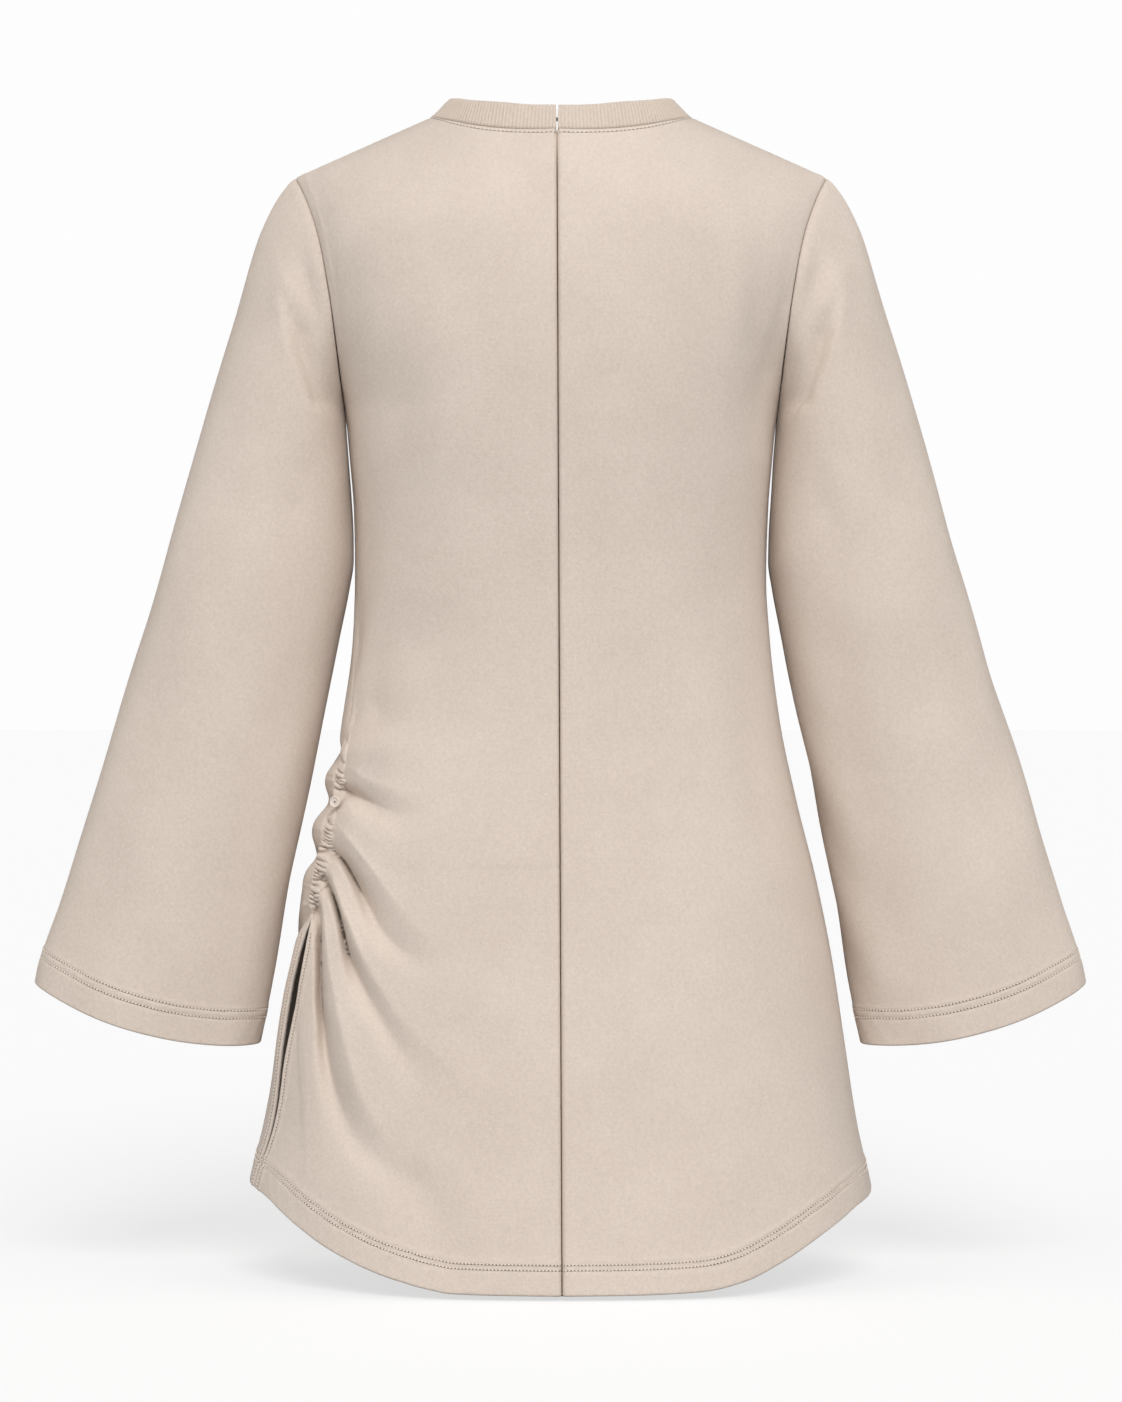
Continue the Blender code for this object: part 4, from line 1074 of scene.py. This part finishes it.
def build_collar(neckline, directions, materials):
    """The folded rib collar: ribs all round its section, open at the middle of the back."""
    run = edge_run(neckline)
    ribs = round(run[-1] / RIB_PITCH)
    at = np.linspace(0, run[-1], ribs * RIB_SAMPLES + 1)
    base = resample(neckline, run, at)
    out = unit(resample(directions, run, at))
    for _ in range(30):
        base[1:-1] = (base[:-2] + 2 * base[1:-1] + base[2:]) / 4
    even_out(out, 30)
    up, face, height = rib_directions(base)
    even_out(up, 30)
    even_out(face, 30)
    phase = at / run[-1] * ribs * 2 * math.pi
    ribbing = (0.5 - 0.5 * np.cos(phase)) ** RIB_FULLNESS
    radius = RIB_WALL / 2
    # Section: up the outer side, round the folded top and down the inner side
    sections = [(share, 0.0, 1.0) for share in np.linspace(0, 1, 9)]
    sections += [(1.0, math.pi * k / RIB_EDGE_ARC, INNER_RIBS) for k in range(1, RIB_EDGE_ARC)]
    sections += [(share, math.pi, INNER_RIBS) for share in np.linspace(1, 0, 7)]
    outer = []
    for share, turn, strength in sections:
        bulge = RIB_BULGE * 4 * share * (1 - share)
        blend = smoothstep(share, 0.0, 0.35)
        way = unit(out * (1 - blend) + face * blend)
        axis = base + up * (height - radius) * share + way * (bulge - radius)
        flare = COLLAR_FLARE * max(0.0, 1 - share / 0.5) ** 2 * (1 if turn == 0 else 0.6)
        flare = flare * np.clip(np.abs(base[:, 0]) / NECK_X, 0, 1) ** 6
        axis[:, 0] += flare * np.sign(base[:, 0])
        axis[:, 2] -= flare * 0.5
        step = way * math.cos(turn) + up * math.sin(turn)
        outer.append(axis + step * (radius + RIB_RAISE * strength * ribbing)[:, None])
    outer = np.array(outer).transpose(1, 0, 2)
    # The two ends part above and below the hook and eye that hold them together half way up
    half = curve(SLIT_HALF, np.array([share for share, _, _ in sections]))
    for end, sign in ((slice(0, 5 * RIB_SAMPLES), 1), (slice(-5 * RIB_SAMPLES, None), -1)):
        from_end = (at[end] if sign > 0 else run[-1] - at[end])[:, None]
        outer[end, :, 0] += sign * half[None, :] * np.clip(1 - from_end / SLIT_FADE, 0, 1)
    columns, rows = outer.shape[:2]
    faces = grid_faces(columns, rows, 0, False, False).tolist()
    for k in range(columns - 1):
        a, b = k * rows, (k + 1) * rows
        faces.append((b, a, a + rows - 1, b + rows - 1))
    faces.append(tuple(range(rows)))
    faces.append(tuple(range(columns * rows - 1, (columns - 1) * rows - 1, -1)))
    uv = np.stack([arcs(outer, 0), arcs(outer, 1)], axis=-1).reshape(-1, 2)
    uv[:, 0] = np.repeat(phase / (2 * math.pi) * RIB_PITCH, rows)
    return make_object("rib_collar", outer.reshape(-1, 3), faces, materials, uv)


def build_catch(neckline, made):
    """A wire hook on one side of the collar's slit and an eye on the other, on its inner side."""
    base = (neckline[0] + neckline[-1]) / 2
    up, face, height = (value[0] for value in rib_directions(base[None]))
    centre = base + up * height * 0.5 - face * (RIB_WALL + CATCH_OFFSET)
    curves = bpy.data.curves.new("hook_and_eye", "CURVE")
    curves.dimensions = "3D"
    curves.bevel_depth = CATCH_WIRE_RADIUS * MM
    curves.bevel_resolution = 3
    t = (np.arange(CATCH_STEPS) / CATCH_STEPS)[:, None]
    for route, stand in CATCH_WIRES:
        here = np.array(route)[:, None]
        before, after, later = (np.roll(here, shift, axis=0) for shift in (1, -1, -2))
        # A smooth closed curve through the route's points
        points = 0.5 * (2 * here + (after - before) * t
                        + (2 * before - 5 * here + 4 * after - later) * t * t
                        + (3 * here - before - 3 * after + later) * t ** 3).reshape(-1, 2)
        line = curves.splines.new("POLY")
        line.points.add(len(points) - 1)
        for point, (across, tall) in zip(line.points, points):
            place = centre + np.array([across, 0.0, 0.0]) + up * tall + face * stand
            point.co = (*(place * MM), 1.0)
        line.use_cyclic_u = True
    curves.materials.append(made)
    wire = bpy.data.objects.new("hook_and_eye", curves)
    bpy.context.scene.collection.objects.link(wire)
    return wire


def read_row(panel, normals, row, distances):
    """Points and directions of a panel at distances from its first column along a row."""
    low = int(np.floor(row))
    share = row - low
    line = panel[:, low] * (1 - share) + panel[:, low + 1] * share
    way = normals[:, low] * (1 - share) + normals[:, low + 1] * share
    run = edge_run(line)
    return resample(line, run, distances), unit(resample(way, run, distances))


def build_gathers(back, front, normal_back, normal_front, materials):
    """The gathered channel on the side seam: small rounded puckers, close in a few clusters."""
    lower_rows = len(LEFT_ROWS)
    edge_z = back[0, :lower_rows, 2]
    place = np.linspace(0, PUCKER_COUNT, PUCKER_COUNT * PUCKER_SAMPLES + 1)
    heights = pucker_height(place)
    rng = np.random.default_rng(11)

    def uneven(low, high):
        """A value for each pucker between low and high, with even steps between them."""
        each = rng.uniform(low, high, PUCKER_COUNT + 1)
        return np.interp(place, np.arange(PUCKER_COUNT + 1), each)

    back_reach = uneven(0.7, 1.0)
    front_reach = uneven(0.6, 1.0)
    strength = uneven(0.65, 1.1)
    ends = smoothstep(place, 0, 1.5) * (1 - smoothstep(place, PUCKER_COUNT - 1.2, PUCKER_COUNT))
    pitch = -np.gradient(heights, place)
    strength = strength * np.clip(1.25 - 0.045 * pitch, 0.35, 1.0)
    flat_button = 1 - BUTTON_PRESS * np.exp(-((heights - BUTTON_Z) / BUTTON_PRESS_REACH) ** 4)
    puckers = np.abs(np.sin(math.pi * place)) ** 0.5
    grid, ways = [], []
    for offset in np.linspace(-1, 1, BAND_COLUMNS + 1):
        panel, normals = (back, normal_back) if offset < 0 else (front, normal_front)
        reach = BAND_BACK * back_reach if offset < 0 else BAND_FRONT * front_reach
        distance = np.abs(offset) * reach
        # The puckers slant a little down towards the back
        slanted = heights + PUCKER_SLANT * offset
        rows = np.interp(-slanted, -edge_z[::-1], np.arange(lower_rows)[::-1])
        rows = np.minimum(rows, lower_rows - 2.0)
        column, column_way = [], []
        for row, reached in zip(rows, distance):
            spot, way = read_row(panel, normals, row, np.array([reached]))
            column.append(spot[0])
            column_way.append(way[0])
        crown = max(1 - offset ** 2, 0.0) ** 0.5
        edge = smoothstep(np.abs(offset), 0.8, 1.0)
        raised = (PUCKER_RAISE * puckers * strength * flat_button + BAND_RISE) * crown * ends
        lift = raised - edge + BAND_RISE
        way = unit(np.array(column_way))
        even_out(way, 12)
        grid.append(np.array(column) + way * lift[:, None])
        ways.append(way)
    grid, ways = np.array(grid), np.array(ways)
    thickness = np.full(grid.shape[:2], BAND_CLOTH)
    # From the back panel's side to the front's the columns run right to left, so they are turned
    made = shell("gathered_channel", grid[TURNED], ways[TURNED], thickness, materials)
    k = int(np.abs(edge_z - BUTTON_Z - 2.0).argmin())
    place, way = read_row(back, normal_back, k, np.array([BUTTON_REACH]))
    return made, place[0], unit(way[0] + np.array([0.0, -1.5, 0.0]))


def build_button(place, way, materials):
    """A small dished button with a rim, which stands on the gathers and faces backwards."""
    axis = unit(np.array(BUTTON_AXIS))
    side = unit(np.cross(axis, UP))
    up = np.cross(side, axis)
    centre = place + way * BUTTON_LIFT
    vertices = []
    for radius, height in BUTTON_OUTLINE:
        for k in range(BUTTON_SIDES):
            turn = 2 * math.pi * k / BUTTON_SIDES
            round_step = side * math.cos(turn) + up * math.sin(turn)
            vertices.append(centre + round_step * radius + axis * height)
    tube, ends = tube_faces(0, len(BUTTON_OUTLINE), BUTTON_SIDES)
    # The eye takes the second finish: painted shade of the centre hole
    eye = [int(radius < BUTTON_SHADED_EYE) for radius, _ in BUTTON_OUTLINE[:-1]]
    slots = np.repeat(eye, BUTTON_SIDES).tolist() + [0, 1]
    return make_object("dished_button", vertices, tube + ends, materials, slots=slots)


def set_values(tree, node, **values):
    """Sets a node's properties, and its sockets to a constant or another node's output.

    A socket is written with _ for each space in its name.
    """
    for key, value in values.items():
        socket = key.replace("_", " ")
        if hasattr(node, key):
            setattr(node, key, value)
        elif isinstance(value, bpy.types.NodeSocket):
            tree.links.new(value, node.inputs[socket])
        else:
            node.inputs[socket].default_value = value


def add_node(tree, kind, *sources, **values):
    """Adds a node with its values; the sources go to its first sockets in turn."""
    node = tree.nodes.new(kind)
    set_values(tree, node, **values)
    for socket, source in zip(node.inputs, sources):
        if isinstance(source, float):
            socket.default_value = source
        else:
            tree.links.new(source, socket)
    return node


def compute(tree, operation, *sources):
    """A sum, product or other function of outputs and constants."""
    return add_node(tree, "ShaderNodeMath", *sources, operation=operation).outputs[0]


def wave(tree, source, pitch, power):
    """Rounded ribs of a pitch in millimetres over a source in metres; a low power fills them out."""
    turn = compute(tree, "MULTIPLY", source, math.pi / (pitch * MM))
    size = compute(tree, "ABSOLUTE", compute(tree, "SINE", turn))
    return compute(tree, "POWER", size, power)


def noise(tree, scale, detail, roughness=0.5):
    """Noise that is fixed to the object."""
    place = add_node(tree, "ShaderNodeTexCoord").outputs["Object"]
    node = add_node(tree, "ShaderNodeTexNoise", place, Scale=scale, Detail=detail, Roughness=roughness)
    return node.outputs["Fac"]


def remap(tree, source, low, high, to_low, to_high):
    """A source taken from one range to another."""
    node = add_node(tree, "ShaderNodeMapRange", source, From_Min=low, From_Max=high,
                    To_Min=to_low, To_Max=to_high)
    return node.outputs["Result"]


def two_colours(tree, factor, dark, light):
    """A colour between dark and light."""
    mix = add_node(tree, "ShaderNodeMix", factor, data_type="RGBA")
    mix.inputs[6].default_value = (*dark, 1.0)
    mix.inputs[7].default_value = (*light, 1.0)
    return mix.outputs[2]


def relief(tree, height, strength, distance):
    """Directions of a surface roughened by a height; the distance is in metres."""
    node = add_node(tree, "ShaderNodeBump", Strength=strength, Distance=distance, Height=height)
    return node.outputs["Normal"]


def new_material(name):
    """A material, its node tree and its shader."""
    made = bpy.data.materials.new(name)
    made.use_nodes = True
    return made, made.node_tree, made.node_tree.nodes["Principled BSDF"]


def knit_material(name, light, dark, rib=False):
    """Brushed knit: wales and courses in low relief, a soft nap, and slow changes of colour; a rib knit
    also gets painted shade in the hollows between its ribs.
    """
    made, tree, shader = new_material(name)
    cloth = add_node(tree, "ShaderNodeUVMap", uv_map="cloth").outputs["UV"]
    split = add_node(tree, "ShaderNodeSeparateXYZ", cloth)
    wales = wave(tree, split.outputs["X"], WALE_PITCH, 0.7)
    courses = wave(tree, split.outputs["Y"], COURSE_PITCH, 0.7)
    grain = noise(tree, 1500, 2, 0.6)
    fuzz = noise(tree, 420, 3, 0.65)
    patches = noise(tree, 26, 3, 0.55)
    slow = noise(tree, 7, 2)
    loops = compute(tree, "MULTIPLY", compute(tree, "MULTIPLY", wales, courses), 0.5)
    height = compute(tree, "ADD", compute(tree, "ADD", loops, grain), fuzz)

    # What shifts the tone: a source, its range, and the shift over that range
    shifts = [
        (slow, 0.3, 0.7, 0.0, 0.2),
        (patches, 0.3, 0.7, 0.0, 0.16),
        (grain, 0.25, 0.75, 0.0, 0.5),
        (fuzz, 0.25, 0.75, 0.0, 0.5),
        (height, 0.5, 1.8, -0.12, 0.12),
    ]
    if rib:
        # Painted shade: the hollows between the ribs are darkened as if shade fell in them
        shifts.append((wave(tree, split.outputs["X"], RIB_PITCH, 0.9), 0.0, 1.0, -0.35, 0.3))
    tone = remap(tree, *shifts[0])
    for shift in shifts[1:]:
        tone = compute(tree, "ADD", tone, remap(tree, *shift))
    set_values(tree, shader,
               Base_Color=two_colours(tree, remap(tree, tone, 0.2, 1.1, 0.0, 1.0), dark, light),
               Normal=relief(tree, height, 0.7, 0.00022),
               Roughness=remap(tree, fuzz, 0.3, 0.7, 0.78, 0.95),
               Specular_IOR_Level=0.25, Sheen_Weight=0.12, Sheen_Roughness=0.45,
               Sheen_Tint=(1.0, 0.96, 0.92, 1.0))
    return made


def plain_material(name, light, dark, roughness, scale, metallic=0.0):
    """A small hard or twisted thing: two close colours in a fine grain, and uneven gloss."""
    made, tree, shader = new_material(name)
    grain = noise(tree, scale, 3.0)
    set_values(tree, shader,
               Base_Color=two_colours(tree, grain, dark, light),
               Normal=relief(tree, grain, 0.2, 0.0001),
               Roughness=remap(tree, grain, 0.0, 1.0, roughness - 0.08, roughness + 0.08),
               Metallic=metallic)
    return made


def declare_cloth(piece, width, length):
    """Works out the flat area of a piece's cloth, half of the shell's surface, kept within the size it
    was cut to; nothing keeps the result.
    """
    area = sum(polygon.area for polygon in piece.data.polygons) / 2
    area = min(max(area, 0.31 * width * length), width * length)


def finish_piece(piece, slot, *nodes):
    """Rides on the one body and stands for its solids, which it hides; slot is not used."""
    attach(piece, "root")
    if nodes:
        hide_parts(*nodes)
    return piece


def finish_edges(points, edges):
    """Lift and extra thickness of a panel near its edges, and its distance to each kind of edge."""
    lift = np.zeros(points.shape[:2])
    extra = np.zeros(points.shape[:2])
    fields = {}
    for kind, line, chosen, run in edges:
        distance = distance_to_line(points, line, chosen)
        fields[kind] = distance
        if kind == "hem":
            lift += hem_profile(distance, BODY_HEM, BODY_STITCHES, run)
            extra += HEM_EXTRA * (1 - smoothstep(distance, BODY_HEM, BODY_HEM + 2))
        elif kind == "slit":
            below = 1 - smoothstep(points[..., 2], SLIT_TOP_Z - 14, SLIT_TOP_Z)
            turned = hem_profile(distance, SLIT_HEM, (SLIT_STITCHES,), run)
            lift += below * turned + (1 - below) * seam_profile(distance, run)
            extra += below * SLIT_EXTRA * (1 - smoothstep(distance, SLIT_HEM, SLIT_HEM + 1.5))
        elif kind == "neck":
            lift -= NECK_DENT * np.exp(-(distance / 0.8) ** 2)
            lift -= NECK_DENT * np.exp(-((distance - NECK_STITCHES) / 1.1) ** 2)
        elif kind in ("centre", "centre_with_lip"):
            lift += seam_profile(distance, run, CENTRE_DEPTH, CENTRE_WIDTH)
            if kind == "centre_with_lip":
                lift += CENTRE_LIP * np.exp(-((distance - CENTRE_LIP_AT) / 0.8) ** 2)
        else:
            lift += seam_profile(distance, run)
    return lift, extra, fields


def side_edges(grid, end, kind, count):
    """The seam or slit below the underarm and the armhole above it, at a panel's end column."""
    up = arcs(grid, 1)
    seam, arm = ((slice(0, columns) if end == 0 else slice(-columns, None))
                 for columns in (SIDE_COLUMNS, ARM_COLUMNS))
    return [(kind, grid[end, :count], near(grid, seam, slice(0, count)), up),
            ("armhole", grid[end, count - 1:], near(grid, arm, slice(count - 6, None)), up)]


def panel_edges(name, grid, corners):
    """A panel's edges: kind, line, which points are near it, and length along it.

    The corners are the columns between which the neckline runs; shoulder seams lie outside them.
    """
    across = arcs(grid, 0)
    top = slice(-TOP_ROWS, None)
    first, last = corners
    edges = [("hem", grid[:, 0], near(grid, rows=slice(0, HEM_ROWS)), across)]
    if name == "front":
        edges += side_edges(grid, -1, "slit", len(LEFT_ROWS))
        edges += side_edges(grid, 0, "side", len(LEFT_ROWS))
    elif name == "back_left":
        edges += side_edges(grid, 0, "slit", len(LEFT_ROWS))
    else:
        edges += side_edges(grid, -1, "side", len(RIGHT_ROWS))
    if name == "back_left":
        middle = near(grid, slice(-SIDE_COLUMNS, None))
        edges.append(("centre_with_lip", grid[-1], middle, arcs(grid, 1)))
    elif name == "back_right":
        edges.append(("centre", grid[0], near(grid, slice(0, SIDE_COLUMNS)), arcs(grid, 1)))
    if name != "back_left":
        edges.append(("shoulder", grid[last:, -1], near(grid, slice(last, None), top), across))
    if name != "back_right":
        edges.append(("shoulder", grid[:first + 1, -1], near(grid, slice(0, first + 1), top), across))
    around = slice(max(first - NECK_MARGIN, 0), last + NECK_MARGIN + 1)
    edges.append(("neck", grid[first:last + 1, -1], near(grid, around, top), across))
    return edges


def build_body(knit, thread):
    """The two back panels, the front, and the lines where sleeves and collar join them."""
    rise = 0.5 - 0.5 * np.cos(math.pi * np.linspace(0, 1, UPPER_ROWS + 1)[1:])
    shares = [column_shares(*counts) for counts in PANEL_COLUMNS]
    back_left = half_panel(BACK, LEFT, shares[0], LEFT_ROWS, rise, BACK_FOLDS, 3)
    back_right = half_panel(BACK, RIGHT, shares[1], RIGHT_ROWS, rise, BACK_RIGHT_FOLDS, 4)
    front_left = half_panel(FRONT, LEFT, shares[2], LEFT_ROWS, rise, FRONT_FOLDS, 5)
    front_right = half_panel(FRONT, RIGHT, shares[3], LEFT_ROWS, rise, FRONT_FOLDS, 5)
    lower = len(LEFT_ROWS)

    # The front's left edge is eased onto the back's, and then drawn back where the slit opens
    ease = smoothstep(shares[2], 0.8, 1.0)[:, None, None]
    shift = back_left[-1] - front_left[-1]
    shift[lower:] = 0
    front_left = front_left + shift[None] * ease
    loops = {LEFT: armhole_loop(back_left, front_left), RIGHT: armhole_loop(back_right, front_right)}
    edge_z = back_left[-1, :, 2]
    opening = np.maximum(curve(SLIT, edge_z) - SEAM_GAP, 0)
    opening[lower:] = 0
    towards = unit(front_left[-6] - front_left[-1])
    front_left = front_left + (towards * opening[:, None])[None] * ease

    arc = (1 - shares[0])[:, None] * sum_width(back_left[..., 0], back_left[..., 1])
    stand = np.interp(edge_z, *zip(*SLIT_STAND))
    inwards = np.interp(edge_z, *zip(*SLIT_IN))
    back_left[..., 1] -= stand[None, :] * np.exp(-arc / SLIT_STAND_REACH)
    back_left[..., 0] += inwards[None, :] * np.exp(-arc / SLIT_IN_REACH)

    for half in (back_left, front_left):
        above = half[:, :, 2] - half[:, :1, 2]
        raised = np.interp(-half[..., 0], *zip(*LEFT_HEM_RISE))
        half[..., 2] += raised * np.exp(-above / LEFT_RISE_FADE)

    grids = {"back_left": back_left[TURNED].copy(), "back_right": back_right,
             "front": np.concatenate([front_right[TURNED], front_left[1:]])}
    # Each half's column at the neck's end, counted from its middle
    corner = [int(np.abs(share - NECK_SHARE).argmin()) for share in shares]
    seam = len(shares[0]) - 1
    middle = len(shares[3]) - 1
    corners = {"back_left": (seam - corner[0], seam), "back_right": (0, corner[1]),
               "front": (middle - corner[3], middle + corner[2])}

    pieces, surfaces = {}, {}
    for name, grid in grids.items():
        normals = grid_normals(grid)
        lift, extra, fields = finish_edges(grid, panel_edges(name, grid, corners[name]))
        surface = grid + normals * lift[..., None]
        ways = normals.copy()
        if name in CENTRE_COLUMN:
            # The panel's edge is closed behind the centre seam
            column = CENTRE_COLUMN[name]
            ways[column, :, 0] += (column * 2 + 1) * CENTRE_MEET / (CLOTH + extra[column])
        made = shell("cloth_" + name, surface, ways, CLOTH + extra, [knit])
        pieces[name] = finish_piece(made, "jersey", name)
        surfaces[name] = (surface, normals, fields)

    # Stitching on the body
    hem_routes, neck_routes, slit_routes = [], [], []
    for surface, ways, fields in surfaces.values():
        for level in BODY_STITCHES:
            hem_routes.append(level_line(surface, ways, fields["hem"], level))
        from_top = (part[:, TURNED] for part in (surface, ways, fields["neck"]))
        neck_routes.append(level_line(*from_top, NECK_STITCHES))
    for name in ("back_left", "front"):
        surface, ways, fields = surfaces[name]
        order = slice(None) if name == "back_left" else TURNED
        from_slit = (part[order, :lower][:, LEFT_ROWS < SLIT_TOP_Z - 8].swapaxes(0, 1)
                     for part in (surface, ways, fields["slit"]))
        slit_routes.append(level_line(*from_slit, SLIT_STITCHES))
    for name, routes, seed, pitch in (("stitches_hem", hem_routes, 21, STITCH_PITCH),
                                      ("stitches_neck", neck_routes, 22, NECK_PITCH),
                                      ("stitches_slit", slit_routes, 23, STITCH_PITCH)):
        vertices, faces, slots = stitch_mesh(routes, seed, pitch, pitch * STITCH_SHARE)
        made = make_object(name, vertices, faces, thread, slots=slots)
        pieces[name] = finish_piece(made, "jersey")

    def round_neck(parts):
        """The values of the three panels along the neckline, from the middle of the back."""
        back_end, front_end = corners["back_right"][1], corners["front"]
        return np.concatenate([parts["back_right"][:back_end + 1, -1],
                               parts["front"][front_end[0] + 1:front_end[1], -1],
                               parts["back_left"][corners["back_left"][0]:, -1]])

    ways = {name: surfaces[name][1] for name in grids}
    neckline = round_neck(grids)
    _, rib_way, _ = rib_directions(neckline)
    neck_way = unit(round_neck(ways) + 1.5 * rib_way)
    side_edge = (grids["back_left"], grids["front"][TURNED], ways["back_left"], ways["front"][TURNED])
    return pieces, loops, neckline, neck_way, side_edge


def armhole_loop(back, front):
    """The armhole's points from the underarm up the back and down the front."""
    rows = slice(-UPPER_ROWS - 1, None)
    return np.concatenate([back[-1, rows], front[-1, rows][::-1][1:-1]])


def build_sleeve(hand, name, loop, knit, thread):
    """A sleeve from its armhole to its bell hem, with the hem's two rows of stitches."""
    share = spread(0, 1, 226, (0, 0.01, 4), (1, 0.006, 5), (0.955, 0.02, 1.4), (0.1, 0.12, 0.6))
    turn = np.linspace(0, 2 * math.pi, len(loop) + 1)[:-1]
    points = sleeve_points(hand, loop, share, turn, 7 + hand)
    normals = -hand * grid_normals(points, closed=True)
    across = arcs(points, 0)
    ring = np.concatenate([points, points[:1]])
    hem = distance_to_line(points, ring[:, -1], near(points, rows=slice(-CUFF_ROWS, None)))
    armhole = distance_to_line(points, ring[:, 0], near(points, rows=slice(0, SLEEVE_TOP_ROWS)))
    lift = hem_profile(hem, CUFF_HEM, CUFF_STITCHES, across) + seam_profile(armhole, across)
    # Underarm seam of the sleeve
    under = np.minimum(across, across[-1:] - across)
    groove = UNDERARM_DEPTH * np.exp(-(under / UNDERARM_WIDTH) ** 2)
    lift -= groove * smoothstep(share, 0.0, 0.02)[None, :]
    thickness = CLOTH + HEM_EXTRA * (1 - smoothstep(hem, CUFF_HEM, CUFF_HEM + 2))
    surface = points + normals * lift[..., None]
    order = slice(None) if hand == LEFT else TURNED
    sheet = (part[order] for part in (surface, normals, thickness))
    made = finish_piece(shell("cloth_" + name, *sheet, [knit], closed=True), "jersey", name)
    routes = []
    for level in CUFF_STITCHES:
        line = level_line(surface[:, TURNED], normals[:, TURNED], hem[:, TURNED], level)
        routes.append([np.concatenate([values, values[:1]]) for values in line])
    vertices, faces, slots = stitch_mesh(routes, 30 + hand)
    rows = make_object("stitches_" + name, vertices, faces, thread, slots=slots)
    return made, finish_piece(rows, "jersey")


def camera_sees(tree, others, seen, output):
    """Shows one shader to the camera's own rays and another to all other rays."""
    rays = add_node(tree, "ShaderNodeLightPath").outputs["Is Camera Ray"]
    choice = add_node(tree, "ShaderNodeMixShader", rays, others.outputs[0], seen.outputs[0])
    set_values(tree, tree.nodes[output], Surface=choice.outputs[0])


def add_stage():
    """A plain pale floor, soft even light from all round and broad soft lamps."""
    mesh = bpy.data.meshes.new("floor")
    corners = ((-1, -1), (1, -1), (1, 1), (-1, 1))
    points = [(x * FLOOR_REACH, y * FLOOR_REACH, FLOOR_Z) for x, y in corners]
    mesh.from_pydata(points, [], [(0, 1, 2, 3)])
    floor = bpy.data.objects.new("floor", mesh)
    bpy.context.scene.collection.objects.link(floor)
    paint, tree, shader = new_material("pale_floor")
    set_values(tree, shader, Base_Color=(FLOOR_TONE, FLOOR_TONE, FLOOR_TONE, 1.0), Roughness=0.9,
               Specular_IOR_Level=0.1, Emission_Color=(1.0, 1.0, 1.0, 1.0), Emission_Strength=FLOOR_GLOW)
    dull = add_node(tree, "ShaderNodeBsdfDiffuse", Color=(0.4, 0.4, 0.4, 1.0))
    camera_sees(tree, dull, shader, "Material Output")
    mesh.materials.append(paint)

    world = bpy.data.worlds.new("studio")
    bpy.context.scene.world = world
    world.use_nodes = True
    tree = world.node_tree
    light = tree.nodes["Background"]
    set_values(tree, light, Color=(1.0, 1.0, 1.0, 1.0), Strength=DOME)
    backdrop = add_node(tree, "ShaderNodeBackground", Color=(*[BACKGROUND_TONE] * 3, 1.0))
    camera_sees(tree, light, backdrop, "World Output")

    for name, strength, spread_angle, source in KEY_LIGHTS:
        lamp = bpy.data.lights.new(name, "SUN")
        lamp.energy = strength
        lamp.angle = math.radians(spread_angle)
        made = bpy.data.objects.new(name, lamp)
        made.rotation_euler = (-Vector(source)).to_track_quat("-Z", "Y").to_euler()
        bpy.context.scene.collection.objects.link(made)


def add_camera():
    """The photo's view: level, square to the back, 3.2 m away."""
    camera = bpy.data.cameras.new("camera")
    camera.sensor_fit = "VERTICAL"
    camera.sensor_height = 24.0
    camera.lens = camera.sensor_height * CAMERA_DISTANCE / VIEW_HEIGHT
    made = bpy.data.objects.new("camera", camera)
    made.location = (0.0, -CAMERA_DISTANCE, CAMERA_Z)
    made.rotation_euler = (math.radians(90), 0.0, 0.0)
    bpy.context.scene.collection.objects.link(made)
    bpy.context.scene.camera = made


def main():
    """Makes every piece, the stage and the camera."""
    bpy.context.scene.view_settings.view_transform = "Standard"
    add_camera()
    add_stage()
    knit = knit_material("jersey_knit", (0.715, 0.618, 0.540), (0.575, 0.485, 0.412))
    rib = knit_material("rib_knit", (0.665, 0.565, 0.483), (0.525, 0.435, 0.36), rib=True)
    # The thread's second finish is painted shade for the needle holes
    thread = [plain_material("sewing_thread", (0.86, 0.78, 0.71), (0.74, 0.65, 0.57), 0.7, 2500),
              plain_material("needle_hole_shade", (0.27, 0.215, 0.175), (0.18, 0.14, 0.11), 0.9, 900)]
    matte = plain_material("button_matte", (0.76, 0.67, 0.59), (0.66, 0.56, 0.48), 0.4, 300)
    # Painted shade for the button's dark centre hole
    eye = plain_material("button_eye_shade", (0.10, 0.07, 0.055), (0.05, 0.035, 0.03), 0.7, 900)
    enamel = plain_material("dark_enamel", (0.055, 0.045, 0.04), (0.03, 0.026, 0.024), 0.35, 600, 0.6)

    pieces, loops, neckline, neck_way, side_edge = build_body(knit, thread)
    for hand, name in ((LEFT, "sleeve_left"), (RIGHT, "sleeve_right")):
        pieces[name], pieces["stitches_" + name] = build_sleeve(hand, name, loops[hand], knit, thread)
    collar = build_collar(neckline, neck_way, [rib])
    pieces["neck_rib"] = finish_piece(collar, "rib_knit", "neck_rib")
    finish_piece(build_catch(neckline, enamel), "catch", "neck_catch")
    channel, place, way = build_gathers(*side_edge, [knit])
    pieces["side_gathers"] = finish_piece(channel, "jersey", "side_gathers")
    finish_piece(build_button(place, way, [matte, eye]), "button", "side_button")

    # Rows of stitches that belong to a sheet of cloth
    rows = {name: [pieces["stitches_" + name]] for name in ("sleeve_left", "sleeve_right")}
    rows["front"] = [pieces["stitches_" + name] for name in ("hem", "neck", "slit")]
    for name, (width, length) in CUTS.items():
        declare_cloth(pieces[name], width, length)


main()
